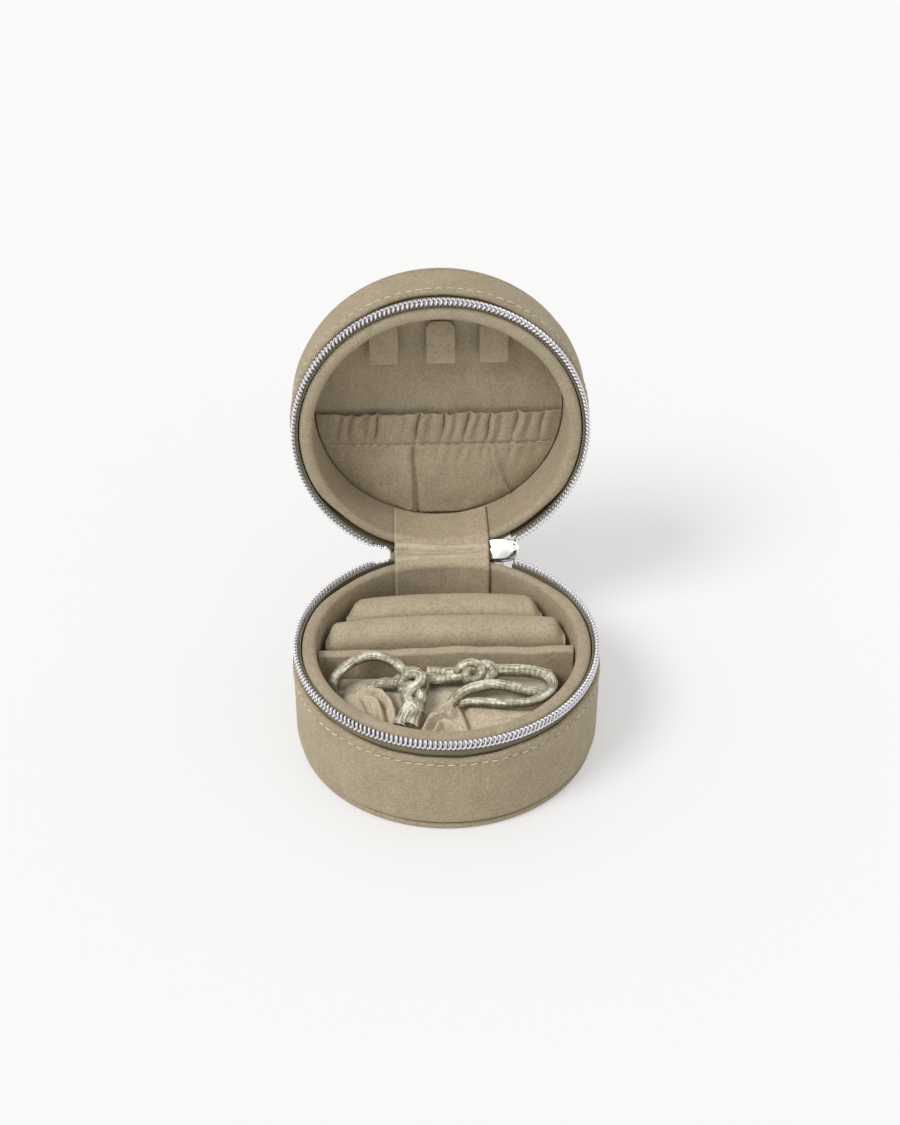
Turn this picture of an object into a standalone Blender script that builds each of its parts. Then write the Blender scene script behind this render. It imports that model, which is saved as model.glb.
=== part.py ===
"""Round zip-up travel jewelry case of velvet over board, standing open.

Lengths are in metres, +Z is up, and the origin is the middle of the bottom panel's underside.
The hinge is at the back, at +Y. Base and lid share one set of profiles: everything on the lid is
drawn as on the closed case, and its pivot swings it open.
"""

import math
from collections import namedtuple

import bmesh
import bpy
from mathutils import Matrix, Vector

MM = 0.001

# Driving dimensions of the case
CASE_RADIUS = 49.0 * MM
BASE_HEIGHT = 36.6 * MM
LID_HEIGHT = 26.1 * MM
LID_OPEN = math.radians(93.0)
HINGE_INSET = 3.3 * MM
HINGE_DROP = 1.1 * MM
GAP = 0.3 * MM
SEGMENTS = 48
BOARD_SEGMENTS = 36

# Wall layers, from the outside in
COVER = 1.8 * MM
TAPE = 0.5 * MM
BOARD = 1.0 * MM
COLLAR_WIDTH = 3.2 * MM
COLLAR_VELVET = 0.9 * MM
RIM_DROP = 0.5 * MM
COVER_FOLD = 0.7 * MM
COVER_CORNER = 2.2 * MM
COVER_LIP = 1.2 * MM
TAPE_REVEAL = 2.0 * MM

# Bottom, top and the discs behind them
PANEL = 2.4 * MM
PANEL_INSET = 0.8 * MM
PANEL_EDGE = 0.8 * MM
PANEL_BOARD = 1.5 * MM
BASE_LINING = 1.0 * MM
LID_LINING = 1.3 * MM

# Zip: coil rows, tape and stops; an arc is measured along the rim from the middle of the back
PITCH = 1.5 * MM
TOOTH_ROOT_WIDTH = 0.66 * MM
TOOTH_TIP_WIDTH = 0.50 * MM
TOOTH_ENGAGE = 0.45 * MM
TOOTH_ROOT = 1.7 * MM
COIL_HEIGHT = 3.4 * MM
COIL_INSET = 0.1 * MM
ROW_ENTRY = 0.9 * MM
ROW_END_ARC = 18.95 * MM
SPLAY = 1.6 * MM
SPLAY_ARC = 25.7 * MM
SPLAY_RUN = 3.4 * MM
TEETH_PER_PANEL = 2
TAPE_TOP = 1.4 * MM
TAPE_DEPTH = 12.0 * MM
TAPE_ENTRY = 2.07 * MM
TAPE_END_ARC = 17.19 * MM
TAPE_POINTS = 44
STOP_LENGTH = 1.4 * MM
STOP_DEPTHS = (0.2 * MM, 3.0 * MM)
STOP_EDGE = 0.3 * MM
TAIL_START_ARC = 10.48 * MM
TAIL_LAP = 1.0 * MM
TAIL_HALF_HEIGHT = 1.7 * MM
BOTTOM_STOP_ARC = 12.58 * MM
BOTTOM_STOP_SIZE = (1.6 * MM, 1.0 * MM, 2.6 * MM)

# Zip slider and its pull
SLIDER_TAIL_ARC = 15.26 * MM
SLIDER_LENGTH = 11.3 * MM
SLIDER_HALF_HEIGHT = 3.9 * MM
SLIDER_TAIL_HALF_HEIGHT = 3.9 * MM
INNER_WING_HALF_HEIGHT = 2.4 * MM
INNER_TAIL_HALF_HEIGHT = 2.15 * MM
SLIDER_NOSE = 4.4 * MM
SLIDER_CORNER = 1.0 * MM
WING = 0.8 * MM
FLANGE = 0.35 * MM
FLANGE_INSET = 0.05 * MM
FLANGE_DEPTH = 0.9 * MM
FLANGE_START = 1.6 * MM
FLANGE_LENGTH = 1.4 * MM
POST_START = 4.6 * MM
POST_LENGTH = 3.4 * MM
POST_HALF_WIDTH = 0.9 * MM
BRIDGE_START = 2.8 * MM
BRIDGE_LENGTH = 4.6 * MM
BRIDGE_BAR = 0.9 * MM
BRIDGE_WIDTH = 1.8 * MM
BRIDGE_CLEAR = 1.8 * MM
PULL_LENGTH = 20.0 * MM
PULL_WIDTH = 7.0 * MM
PULL_THICKNESS = 1.1 * MM
PULL_BAR = 0.9 * MM
PULL_WINDOW = (3.4 * MM, 4.0 * MM)
PULL_CORNER_STEPS = 5

# Fabric hinge
STRIP_HALF_WIDTH = 15.5 * MM
STRIP_THICKNESS = 0.8 * MM
STRIP_FOOT = 12.0 * MM
STRIP_HEAD_GAP = 3.5 * MM
STRIP_COLUMNS = 8
SPINE_HALF_WIDTH = 17.0 * MM
SPINE_THICKNESS = 0.9 * MM
SPINE_LAP = 7.0 * MM
SPINE_RISE = 2.3 * MM
SPINE_FOLD = 1.7 * MM
SPINE_TURN = 0.7 * MM
SPINE_EASE = 1.0 * MM
SPINE_COLUMNS = 6

# Inside the base: divider and ring rolls
DIVIDER_Y = 2.1 * MM
DIVIDER_THICKNESS = 3.4 * MM
DIVIDER_DROP = 6.0 * MM
DIVIDER_VELVET = 0.8 * MM
DIVIDER_EDGE = 0.8 * MM
ROLL_THICKNESS = 11.1 * MM
ROLL_DROP = 1.9 * MM
ROLL_ARCH = 1.6 * MM
ROLL_END_DROP = 3.5 * MM
ROLL_END_LENGTH = 5.0 * MM
ROLL_FRONT_GAP = 2.45 * MM
ROLL_CREST_POINTS = 5
ROLL_STATIONS = 12
ROLL_WALL_GAPS = {"front": 0.7 * MM, "back": 1.6 * MM}

# Inside the lid: pocket, elastic and necklace tabs
POCKET_TOP_Y = 1.6 * MM
POCKET_WALL_GAP = 1.1 * MM
POCKET_SHEET = 0.8 * MM
POCKET_STAND_OFF = 1.6 * MM
POCKET_PUFF = 1.6 * MM
POCKET_HEM = 11.7 * MM
GATHERS = 9
GATHER_DEPTH = 1.0 * MM
POCKET_COLUMNS = 40
POCKET_ROWS = 7
ELASTIC_SIDE_GAP = 2.0 * MM
ELASTIC_WIDTH = 8.0 * MM
ELASTIC_THICKNESS = 0.6 * MM
TAB_WIDTH = 9.5 * MM
TAB_LENGTH = 14.0 * MM
TAB_THICKNESS = 1.2 * MM
TAB_WALL_GAP = 9.1 * MM
TAB_LIFT = math.radians(16.0)
TAB_ROUND = 3.0 * MM
TAB_PLACES = {"left": -18.0 * MM, "center": 0.6 * MM, "right": 18.0 * MM}
SNAP_REACH = 10.0 * MM
SNAP_RADIUS = 2.7 * MM
SNAP_THICKNESS = 0.7 * MM
SNAP_NUB = (1.0 * MM, 0.3 * MM)
SNAP_HOLE = 1.4 * MM
SNAP_SEGMENTS = 16

# Drawstring pouch: the heights of cords and knots count down from the plane where the halves meet
POUCH_WALL_GAP = 0.9 * MM
POUCH_BACK_GAP = 1.2 * MM
POUCH_DROP = 9.9 * MM
POUCH_LOW_DROP = 17.0 * MM
POUCH_LOW_X = (-21.0 * MM, -14.5 * MM)
POUCH_END_GAP = 6.3 * MM
POUCH_SIDE_ROUND = 4.0 * MM
POUCH_STATIONS = 15
CORD = 2.8 * MM
CORD_STEP = 3.8 * MM
KNOT_CORD = 2.0 * MM
KNOT_POINTS = 30
KNOT_SPREAD = (1.66 * MM, 1.58 * MM, 2.0 * MM)
LEFT_KNOT = (-11.2 * MM, -17.4 * MM, -6.7 * MM)
RIGHT_KNOT = (8.4 * MM, -9.0 * MM, -6.7 * MM)
LEFT_LOOP = [
    (-13.4, -10.2, -5.6), (-16.0, -5.8, -5.0), (-20.5, -2.6, -4.6), (-25.5, -2.2, -4.6),
    (-30.5, -4.6, -5.0), (-34.6, -8.2, -6.2), (-36.5, -10.8, -9.0), (-36.0, -10.8, -12.6),
    (-33.0, -8.6, -15.0), (-28.5, -6.6, -15.0), (-23.5, -7.0, -13.0), (-19.6, -9.2, -10.6),
    (-17.4, -11.0, -8.4),
]
RIGHT_LOOP = [
    (5.6, -20.0, -8.2), (11.0, -21.8, -7.6), (18.0, -23.2, -7.2), (25.0, -23.0, -7.0),
    (30.5, -20.4, -6.8), (32.8, -16.0, -6.4), (31.0, -12.0, -6.0), (26.5, -10.2, -5.6),
    (20.5, -9.6, -5.4), (16.4, -9.2, -5.4),
]
RIGHT_STRAND = [
    (1.6, -19.2, -8.2), (5.2, -17.2, -7.0), (9.6, -16.0, -6.2), (14.2, -15.4, -6.0),
    (19.0, -15.8, -6.6), (23.6, -16.8, -7.8), (27.4, -17.6, -8.3),
]
TAILS = {
    "pouch_tail_left_a": [(-13.2, -24.6, -7.2), (-14.6, -28.6, -7.8), (-15.6, -32.0, -8.2)],
    "pouch_tail_left_b": [(-9.4, -24.6, -7.2), (-10.9, -28.4, -7.8), (-12.0, -32.0, -8.2)],
    "pouch_tail_right_a": [(1.6, -7.4, -7.4), (-2.4, -6.7, -8.0), (-6.4, -6.5, -8.1)],
    "pouch_tail_right_b": [(1.4, -10.5, -7.4), (-2.6, -10.2, -8.0), (-6.2, -10.0, -8.1)],
}

# Finishes as colour, roughness and metallic value
VELVET = ((0.36, 0.29, 0.19), 0.85, 0.0)
LINING_VELVET = ((0.34, 0.28, 0.18), 0.9, 0.0)
GREYBOARD = ((0.45, 0.43, 0.40), 0.9, 0.0)
TAPE_WEAVE = ((0.11, 0.10, 0.06), 0.8, 0.0)
SILVER_COIL = ((0.75, 0.75, 0.78), 0.3, 1.0)
POLISHED_METAL = ((0.9, 0.9, 0.9), 0.12, 1.0)
ELASTIC_WEAVE = ((0.7, 0.66, 0.58), 0.8, 0.0)
SATIN_CORD = ((0.55, 0.48, 0.36), 0.35, 0.0)

# Radii of the wall layers and places that follow from the sizes above
COVER_IN = CASE_RADIUS - COVER
TAPE_OUT = COVER_IN - GAP
TAPE_IN = TAPE_OUT - TAPE
BOARD_OUT = TAPE_IN - GAP
BOARD_IN = BOARD_OUT - BOARD
COLLAR_OUT = BOARD_IN - GAP
COLLAR_IN = COLLAR_OUT - COLLAR_WIDTH
COLLAR_MIDDLE = COLLAR_IN + COLLAR_WIDTH / 2
LINING_RADIUS = COLLAR_IN - GAP
COIL_OUT = CASE_RADIUS - COIL_INSET
TAB_SEWN_Y = TAB_WALL_GAP - LINING_RADIUS
RIM_RADIUS = (COVER_IN + COIL_OUT) / 2
RIM_LENGTH = math.tau * RIM_RADIUS
SLIDER_NOSE_ARC = SLIDER_TAIL_ARC + SLIDER_LENGTH
COVER_EDGE = COIL_HEIGHT + TAPE_REVEAL
BOARD_EDGE = COVER_EDGE - GAP
LAYER_1 = PANEL + GAP
LAYER_2 = LAYER_1 + PANEL_BOARD + GAP
BASE_FLOOR = LAYER_2 + BASE_LINING
LID_CEILING = BASE_HEIGHT + LID_HEIGHT - LAYER_2 - LID_LINING
HINGE = Vector((0.0, CASE_RADIUS - HINGE_INSET, BASE_HEIGHT - HINGE_DROP))
RIM_CENTRE = Vector((0.0, 0.0, BASE_HEIGHT))
WING_OUTER_FACE = COIL_OUT + GAP
WING_INNER_FACE = TAPE_IN - GAP

Half = namedtuple("Half", "name height outer way pivot")


def clear_scene():
    for obj in list(bpy.data.objects):
        bpy.data.objects.remove(obj, do_unlink=True)


def new_collection(name):
    collection = bpy.data.collections.new(name)
    bpy.context.scene.collection.children.link(collection)
    return collection


def add(name, data, finish, pivot=None, place=(0.0, 0.0, 0.0)):
    """Put a part in the case's collection, at its place on the closed case, carried by its pivot."""
    obj = bpy.data.objects.new(name, data)
    PARTS.objects.link(obj)
    colour, roughness, metallic = finish
    material = bpy.data.materials.new(name)
    material.use_nodes = True
    shader = material.node_tree.nodes["Principled BSDF"]
    shader.inputs["Base Color"].default_value = (*colour, 1.0)
    shader.inputs["Roughness"].default_value = roughness
    shader.inputs["Metallic"].default_value = metallic
    data.materials.append(material)
    obj.location = place
    if pivot:
        obj.parent = pivot
        obj.location = Vector(place) - Vector(pivot["closed_place"])
    return obj


def add_pivot(name, closed_place, turn=0.0, parent=None):
    """An empty on a joint's axis, turned about X from the closed case to how the case stands."""
    pivot = bpy.data.objects.new(name, None)
    PARTS.objects.link(pivot)
    pivot["closed_place"] = list(closed_place)
    pivot.location = closed_place
    pivot.rotation_euler = (turn, 0.0, 0.0)
    if parent:
        pivot.parent = parent
        pivot.location = Vector(closed_place) - Vector(parent["closed_place"])
    return pivot


def opened(y, z):
    """Where a point of the closed lid lies on the open lid, in the plane across the hinge."""
    turned_point = Matrix.Rotation(-LID_OPEN, 2) @ Vector((y - HINGE.y, z - HINGE.z))
    return turned_point.x + HINGE.y, turned_point.y + HINGE.z


def smooth_step(low, high, value):
    share = min(max((value - low) / (high - low), 0.0), 1.0)
    return share * share * (3.0 - 2.0 * share)


def across(radius, x):
    """How far back a circle about the case's axis reaches, at x to one side."""
    return math.sqrt(radius * radius - x * x)


# Ways of making a solid


def turned(name, profile, finish, pivot=None, place=(0.0, 0.0, 0.0), ring=True, steps=SEGMENTS):
    """A turned part; a ring's profile closes on itself, a disc's starts and ends on the axis."""
    mesh = bpy.data.meshes.new(name)
    edges = [(i, i + 1) for i in range(len(profile) - 1)]
    if ring:
        edges.append((len(profile) - 1, 0))
    mesh.from_pydata([(r, 0.0, z) for r, z in profile], edges, [])
    obj = add(name, mesh, finish, pivot, place)
    screw = obj.modifiers.new("turn", "SCREW")
    screw.axis = "Z"
    screw.angle = math.tau
    screw.steps = steps
    screw.render_steps = steps
    screw.use_merge_vertices = True
    screw.merge_threshold = 0.00001
    screw.use_smooth_shade = True
    return obj


def turned_half(half, part, profile, finish, ring=True, steps=SEGMENTS):
    """A turned part of the base or lid; its profile counts height from that half's outer face."""
    points = [(r, half.outer + half.way * height) for r, height in profile]
    if half.way < 0:
        points.reverse()
    return turned(f"{half.name}_{part}", points, finish, half.pivot, ring=ring, steps=steps)


def flat_curve(name, outlines, thickness):
    """A plate from flat outlines; the first is its edge and the rest are holes."""
    curve = bpy.data.curves.new(name, "CURVE")
    curve.dimensions = "2D"
    curve.fill_mode = "BOTH"
    curve.extrude = thickness / 2
    for outline in outlines:
        spline = curve.splines.new("POLY")
        spline.points.add(len(outline) - 1)
        for point, (x, y) in zip(spline.points, outline):
            point.co = (x, y, 0.0, 1.0)
        spline.use_cyclic_u = True
    return curve


def tube(name, points, diameter, finish, pivot, resolution=2, loop=False):
    """A round cord along its points."""
    curve = bpy.data.curves.new(name, "CURVE")
    curve.dimensions = "3D"
    curve.bevel_depth = diameter / 2
    curve.bevel_resolution = resolution
    curve.use_fill_caps = True
    spline = curve.splines.new("POLY")
    spline.points.add(len(points) - 1)
    for point, place in zip(spline.points, points):
        point.co = (*place, 1.0)
    spline.use_cyclic_u = loop
    return add(name, curve, finish, pivot)


def sheet(name, rows, thickness, finish, pivot=None):
    """Cloth through rows of points, thickened to both sides."""
    columns = len(rows[0])
    mesh = bpy.data.meshes.new(name)
    faces = []
    for i in range(len(rows) - 1):
        for j in range(columns - 1):
            corner = i * columns + j
            faces.append((corner, corner + 1, corner + columns + 1, corner + columns))
    mesh.from_pydata([point for row in rows for point in row], [], faces)
    mesh.shade_smooth()
    obj = add(name, mesh, finish, pivot)
    solidify = obj.modifiers.new("thickness", "SOLIDIFY")
    solidify.thickness = thickness
    solidify.offset = 0.0
    solidify.use_even_offset = True
    return obj


def loft(name, sections, finish, pivot=None):
    """A solid through closed sections, capped at both ends."""
    bm = bmesh.new()
    rings = [[bm.verts.new(point) for point in section] for section in sections]
    count = len(rings[0])
    for ring, following in zip(rings, rings[1:]):
        for j in range(count):
            k = (j + 1) % count
            bm.faces.new((ring[j], ring[k], following[k], following[j]))
    bm.faces.new(rings[0])
    bm.faces.new(rings[-1])
    bmesh.ops.recalc_face_normals(bm, faces=bm.faces)
    mesh = bpy.data.meshes.new(name)
    bm.to_mesh(mesh)
    bm.free()
    mesh.shade_smooth()
    mesh.set_sharp_from_angle(angle=math.radians(50.0))
    return add(name, mesh, finish, pivot)


def rim_point(along, radius, z):
    """A point on the closed zip: its distance clockwise from the back, its radius and height."""
    angle = along / RIM_RADIUS
    return Vector((radius * math.sin(angle), radius * math.cos(angle), z))


def rim_plate(outline, radius_in, radius_out, finish, name, pivot=None):
    """A plate bent round the rim, from an outline of distances along the rim and heights."""
    bm = bmesh.new()
    inner = [bm.verts.new(rim_point(s, radius_in, z)) for s, z in outline]
    outer = [bm.verts.new(rim_point(s, radius_out, z)) for s, z in outline]
    bm.faces.new(inner)
    bm.faces.new(outer)
    for j in range(len(outline)):
        k = (j + 1) % len(outline)
        bm.faces.new((inner[j], inner[k], outer[k], outer[j]))
    bmesh.ops.recalc_face_normals(bm, faces=bm.faces)
    mesh = bpy.data.meshes.new(name)
    bm.to_mesh(mesh)
    bm.free()
    return add(name, mesh, finish, pivot)


def rectangle(left, right, low, high):
    return [(left, low), (right, low), (right, high), (left, high)]


def arc(centre_x, centre_y, radius, start, end, steps):
    """Points along a round corner, with angles in degrees."""
    points = []
    for i in range(steps + 1):
        angle = math.radians(start + (end - start) * i / steps)
        points.append((centre_x + radius * math.cos(angle), centre_y + radius * math.sin(angle)))
    return points


def smooth_route(points, step):
    """Points at even steps along a smooth curve through a cord's own points."""
    route = [Vector(p) for p in points]
    route = [2 * route[0] - route[1], *route, 2 * route[-1] - route[-2]]
    fine = []
    for a, b, c, d in zip(route, route[1:], route[2:], route[3:]):
        for i in range(20):
            t = i / 20
            fine.append(0.5 * (2 * b + (c - a) * t + (2 * a - 5 * b + 4 * c - d) * t ** 2
                               + (3 * b - a - 3 * c + d) * t ** 3))
    fine.append(route[-2])
    lengths = [0.0]
    for here, there in zip(fine, fine[1:]):
        lengths.append(lengths[-1] + (there - here).length)
    count = max(round(lengths[-1] / step), 2)
    even = []
    k = 0
    for i in range(count + 1):
        goal = lengths[-1] * i / count
        while k < len(lengths) - 2 and lengths[k + 1] < goal:
            k += 1
        share = (goal - lengths[k]) / (lengths[k + 1] - lengths[k])
        even.append(fine[k].lerp(fine[k + 1], min(share, 1.0)))
    return even


# Walls, panels and collars of both halves


def panel(half):
    """The velvet-covered board that closes the half outside."""
    radius = CASE_RADIUS - PANEL_INSET
    profile = [
        (0.0, PANEL), (radius - PANEL_EDGE, PANEL), (radius, PANEL - PANEL_EDGE),
        (radius, PANEL_EDGE), (radius - PANEL_EDGE, 0.0), (0.0, 0.0),
    ]
    return turned_half(half, PANEL_NAMES[half.name], profile, VELVET, ring=False)


def panel_board(half):
    top = LAYER_1 + PANEL_BOARD
    profile = [(0.0, top), (COLLAR_OUT, top), (COLLAR_OUT, LAYER_1), (0.0, LAYER_1)]
    return turned_half(half, "panel_board", profile, GREYBOARD, ring=False, steps=BOARD_SEGMENTS)


def lining(half, thickness):
    top = LAYER_2 + thickness
    profile = [(0.0, top), (LINING_RADIUS, top), (LINING_RADIUS, LAYER_2), (0.0, LAYER_2)]
    return turned_half(half, LINING_NAMES[half.name], profile, LINING_VELVET, ring=False)


def wall_board(half):
    top = half.height - BOARD_EDGE
    profile = [(BOARD_OUT, top), (BOARD_OUT, LAYER_1), (BOARD_IN, LAYER_1), (BOARD_IN, top)]
    return turned_half(half, "wall_board", profile, GREYBOARD, steps=BOARD_SEGMENTS)


def wall_cover(half):
    """Velvet round the wall, folded over at the zip and turned in at the panel."""
    edge = half.height - COVER_EDGE
    lip_in = BOARD_OUT + GAP
    lip_top = LAYER_1 + COVER_LIP
    bend = COVER_CORNER * (1.0 - math.sqrt(0.5))
    profile = [
        (COVER_IN, edge - COVER_FOLD), (COVER_IN + COVER_FOLD, edge),
        (CASE_RADIUS - COVER_FOLD, edge), (CASE_RADIUS, edge - COVER_FOLD),
        (CASE_RADIUS, LAYER_1 + COVER_CORNER), (CASE_RADIUS - bend, LAYER_1 + bend),
        (CASE_RADIUS - COVER_CORNER, LAYER_1), (lip_in, LAYER_1), (lip_in, lip_top),
        (COVER_IN, lip_top),
    ]
    return turned_half(half, "wall_cover", profile, VELVET)


def collar_core(half):
    skin = COLLAR_VELVET + GAP
    top = half.height - RIM_DROP - skin
    profile = [
        (COLLAR_OUT - skin, top), (COLLAR_OUT - skin, LAYER_2),
        (COLLAR_IN + skin, LAYER_2), (COLLAR_IN + skin, top),
    ]
    return turned_half(half, "collar_core", profile, GREYBOARD, steps=BOARD_SEGMENTS)


def collar_wrap(half):
    """Velvet over the collar board, with a full round on the rim."""
    top = half.height - RIM_DROP
    roll = COLLAR_WIDTH / 2
    bend = roll * (1.0 - math.sqrt(0.5))
    skin = COLLAR_VELVET
    profile = [
        (COLLAR_IN, top - roll), (COLLAR_IN + bend, top - bend), (COLLAR_MIDDLE, top),
        (COLLAR_OUT - bend, top - bend), (COLLAR_OUT, top - roll), (COLLAR_OUT, LAYER_2),
        (COLLAR_OUT - skin, LAYER_2), (COLLAR_OUT - skin, top - skin),
        (COLLAR_IN + skin, top - skin), (COLLAR_IN + skin, LAYER_2), (COLLAR_IN, LAYER_2),
    ]
    return turned_half(half, "collar_wrap", profile, VELVET)


# Zip


def splay(along):
    """How far a row bends away from the other where the slider parks at the closed end."""
    start = RIM_LENGTH - SPLAY_ARC
    return SPLAY * smooth_step(start, start + SPLAY_RUN, along)


def zip_coil(half, offset):
    """One row of the zip: teeth on a spine, half a pitch from the teeth of the other row."""
    start = SLIDER_NOSE_ARC - ROW_ENTRY + offset
    count = int((RIM_LENGTH - ROW_END_ARC - start + offset) / PITCH - 0.5)
    count -= count % TEETH_PER_PANEL

    def row_point(along, depth):
        return along, BASE_HEIGHT - half.way * (depth + splay(along))

    teeth = []
    for i in range(count):
        middle = start + PITCH * (i + 0.5)
        for side, width, depth in (
            (-0.5, TOOTH_ROOT_WIDTH, TOOTH_ROOT), (-0.5, TOOTH_TIP_WIDTH, -TOOTH_ENGAGE),
            (0.5, TOOTH_TIP_WIDTH, -TOOTH_ENGAGE), (0.5, TOOTH_ROOT_WIDTH, TOOTH_ROOT),
        ):
            teeth.append(row_point(middle + side * width, depth))
    panels = count // TEETH_PER_PANEL
    span = 4 * TEETH_PER_PANEL
    spine = [row_point(teeth[i * span][0], COIL_HEIGHT) for i in range(panels)]
    spine.append(row_point(teeth[-1][0], COIL_HEIGHT))

    bm = bmesh.new()
    layers = []
    for radius in (COVER_IN, COIL_OUT):
        tips = [bm.verts.new(rim_point(s, radius, z)) for s, z in teeth]
        backs = [bm.verts.new(rim_point(s, radius, z)) for s, z in spine]
        for i in range(panels):
            top = tips[i * span:(i + 1) * span + 1]
            bm.faces.new([backs[i + 1], backs[i], *top])
        layers.append(tips + backs[::-1])
    inner, outer = layers
    for j in range(len(inner)):
        k = (j + 1) % len(inner)
        bm.faces.new((inner[j], inner[k], outer[k], outer[j]))
    bmesh.ops.recalc_face_normals(bm, faces=bm.faces)
    name = f"{half.name}_zip_coil"
    mesh = bpy.data.meshes.new(name)
    bm.to_mesh(mesh)
    bm.free()
    return add(name, mesh, SILVER_COIL, half.pivot)


def zip_tape(half):
    """Woven tape that carries the row, open behind the hinge."""
    start = (SLIDER_NOSE_ARC - TAPE_ENTRY) / RIM_RADIUS
    end = (RIM_LENGTH - TAPE_END_ARC) / RIM_RADIUS
    angles = [start + (end - start) * i / TAPE_POINTS for i in range(TAPE_POINTS + 1)]
    outline = [(TAPE_OUT * math.sin(a), TAPE_OUT * math.cos(a)) for a in angles]
    outline += [(TAPE_IN * math.sin(a), TAPE_IN * math.cos(a)) for a in reversed(angles)]
    name = f"{half.name}_zip_tape"
    curve = flat_curve(name, [outline], TAPE_DEPTH - TAPE_TOP)
    middle = BASE_HEIGHT - half.way * (TAPE_DEPTH + TAPE_TOP) / 2
    return add(name, curve, TAPE_WEAVE, half.pivot, (0.0, 0.0, middle))


def zip_stop(half):
    """Metal crimp that ends the row where the zip closes."""
    start = RIM_LENGTH - ROW_END_ARC + GAP
    low, high = sorted(
        BASE_HEIGHT - half.way * (depth + SPLAY) for depth in STOP_DEPTHS
    )
    outline = rectangle(start, start + STOP_LENGTH, low, high)
    stop = rim_plate(outline, COVER_IN, COIL_OUT, POLISHED_METAL, f"{half.name}_zip_stop", half.pivot)
    soften(stop, STOP_EDGE)
    return stop


def soften(obj, width):
    bevel = obj.modifiers.new("edges", "BEVEL")
    bevel.width = width
    bevel.segments = 1


def zip_tail(pivot):
    """The joined end of the two tapes behind the hinge, with the stop that holds them together."""
    outline = rectangle(
        TAIL_START_ARC, SLIDER_TAIL_ARC + TAIL_LAP,
        BASE_HEIGHT - TAIL_HALF_HEIGHT, BASE_HEIGHT + TAIL_HALF_HEIGHT,
    )
    rim_plate(outline, TAPE_IN, TAPE_OUT, TAPE_WEAVE, "zip_tail_tape", pivot)
    length, depth, height = BOTTOM_STOP_SIZE
    middle = BOTTOM_STOP_ARC
    outline = rectangle(
        middle - length / 2, middle + length / 2,
        BASE_HEIGHT - height / 2, BASE_HEIGHT + height / 2,
    )
    stop = rim_plate(
        outline, COVER_IN, COVER_IN + depth, POLISHED_METAL, "zip_bottom_stop", pivot
    )
    soften(stop, STOP_EDGE)


def wing_outline(half_height, tail_half_height):
    """Shield shape of a slider plate, with its round nose towards the open rows."""
    tail = SLIDER_TAIL_ARC
    shoulder = tail + SLIDER_LENGTH - SLIDER_NOSE
    low, high = BASE_HEIGHT - tail_half_height, BASE_HEIGHT + tail_half_height
    points = [(tail, high - SLIDER_CORNER), (tail, low + SLIDER_CORNER)]
    points.append((tail + SLIDER_CORNER, low))
    for s, z in arc(0.0, 0.0, 1.0, -90.0, 90.0, 10):
        points.append((shoulder + SLIDER_NOSE * s, BASE_HEIGHT + half_height * z))
    points.append((tail + SLIDER_CORNER, high))
    return points


def zip_slider(pivot):
    """Two wings joined by a wedge between the rows; the outer one has lips and the pull's bridge."""
    tail = SLIDER_TAIL_ARC
    inner_wing = wing_outline(INNER_WING_HALF_HEIGHT, INNER_TAIL_HALF_HEIGHT)
    slider = rim_plate(
        inner_wing, WING_INNER_FACE - WING, WING_INNER_FACE, POLISHED_METAL, "zip_slider", pivot
    )
    post_middle = tail + POST_START + POST_LENGTH / 2
    post = [
        (tail + POST_START, BASE_HEIGHT), (post_middle, BASE_HEIGHT - POST_HALF_WIDTH),
        (tail + POST_START + POST_LENGTH, BASE_HEIGHT), (post_middle, BASE_HEIGHT + POST_HALF_WIDTH),
    ]
    bridge_low = BASE_HEIGHT - BRIDGE_WIDTH / 2
    bridge_high = BASE_HEIGHT + BRIDGE_WIDTH / 2
    wing_top = WING_OUTER_FACE + WING
    bar_low = wing_top + BRIDGE_CLEAR
    start = tail + BRIDGE_START
    end = start + BRIDGE_LENGTH
    sunk = WING / 2
    flange_start = tail + FLANGE_START
    flange_in = WING_OUTER_FACE - FLANGE_DEPTH
    flange_high = SLIDER_HALF_HEIGHT - FLANGE_INSET
    flange_low = flange_high - FLANGE
    pieces = [
        (wing_outline(SLIDER_HALF_HEIGHT, SLIDER_TAIL_HALF_HEIGHT), WING_OUTER_FACE, wing_top),
        (post, WING_INNER_FACE - sunk, WING_OUTER_FACE + sunk),
        (rectangle(start, start + BRIDGE_BAR, bridge_low, bridge_high), wing_top - sunk, bar_low + sunk),
        (rectangle(end - BRIDGE_BAR, end, bridge_low, bridge_high), wing_top - sunk, bar_low + sunk),
        (rectangle(start, end, bridge_low, bridge_high), bar_low, bar_low + BRIDGE_BAR),
    ]
    for low, high in ((-flange_high, -flange_low), (flange_low, flange_high)):
        lip = rectangle(flange_start, flange_start + FLANGE_LENGTH, BASE_HEIGHT + low, BASE_HEIGHT + high)
        pieces.append((lip, flange_in, WING_OUTER_FACE + sunk))
    for i, (shape, inside, outside) in enumerate(pieces):
        piece = rim_plate(shape, inside, outside, POLISHED_METAL, f"slider_piece_{i}", pivot)
        PARTS.objects.unlink(piece)
        CUTTERS.objects.link(piece)
        piece.hide_render = True
        piece.display_type = "WIRE"
        union = slider.modifiers.new(piece.name, "BOOLEAN")
        union.operation = "UNION"
        union.object = piece
    return slider


def pull_axis():
    """The middle of the pull's crossbar on the closed zip."""
    along = SLIDER_TAIL_ARC + BRIDGE_START + BRIDGE_LENGTH / 2
    return rim_point(along, WING_OUTER_FACE + WING + BRIDGE_CLEAR / 2, BASE_HEIGHT)


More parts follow.
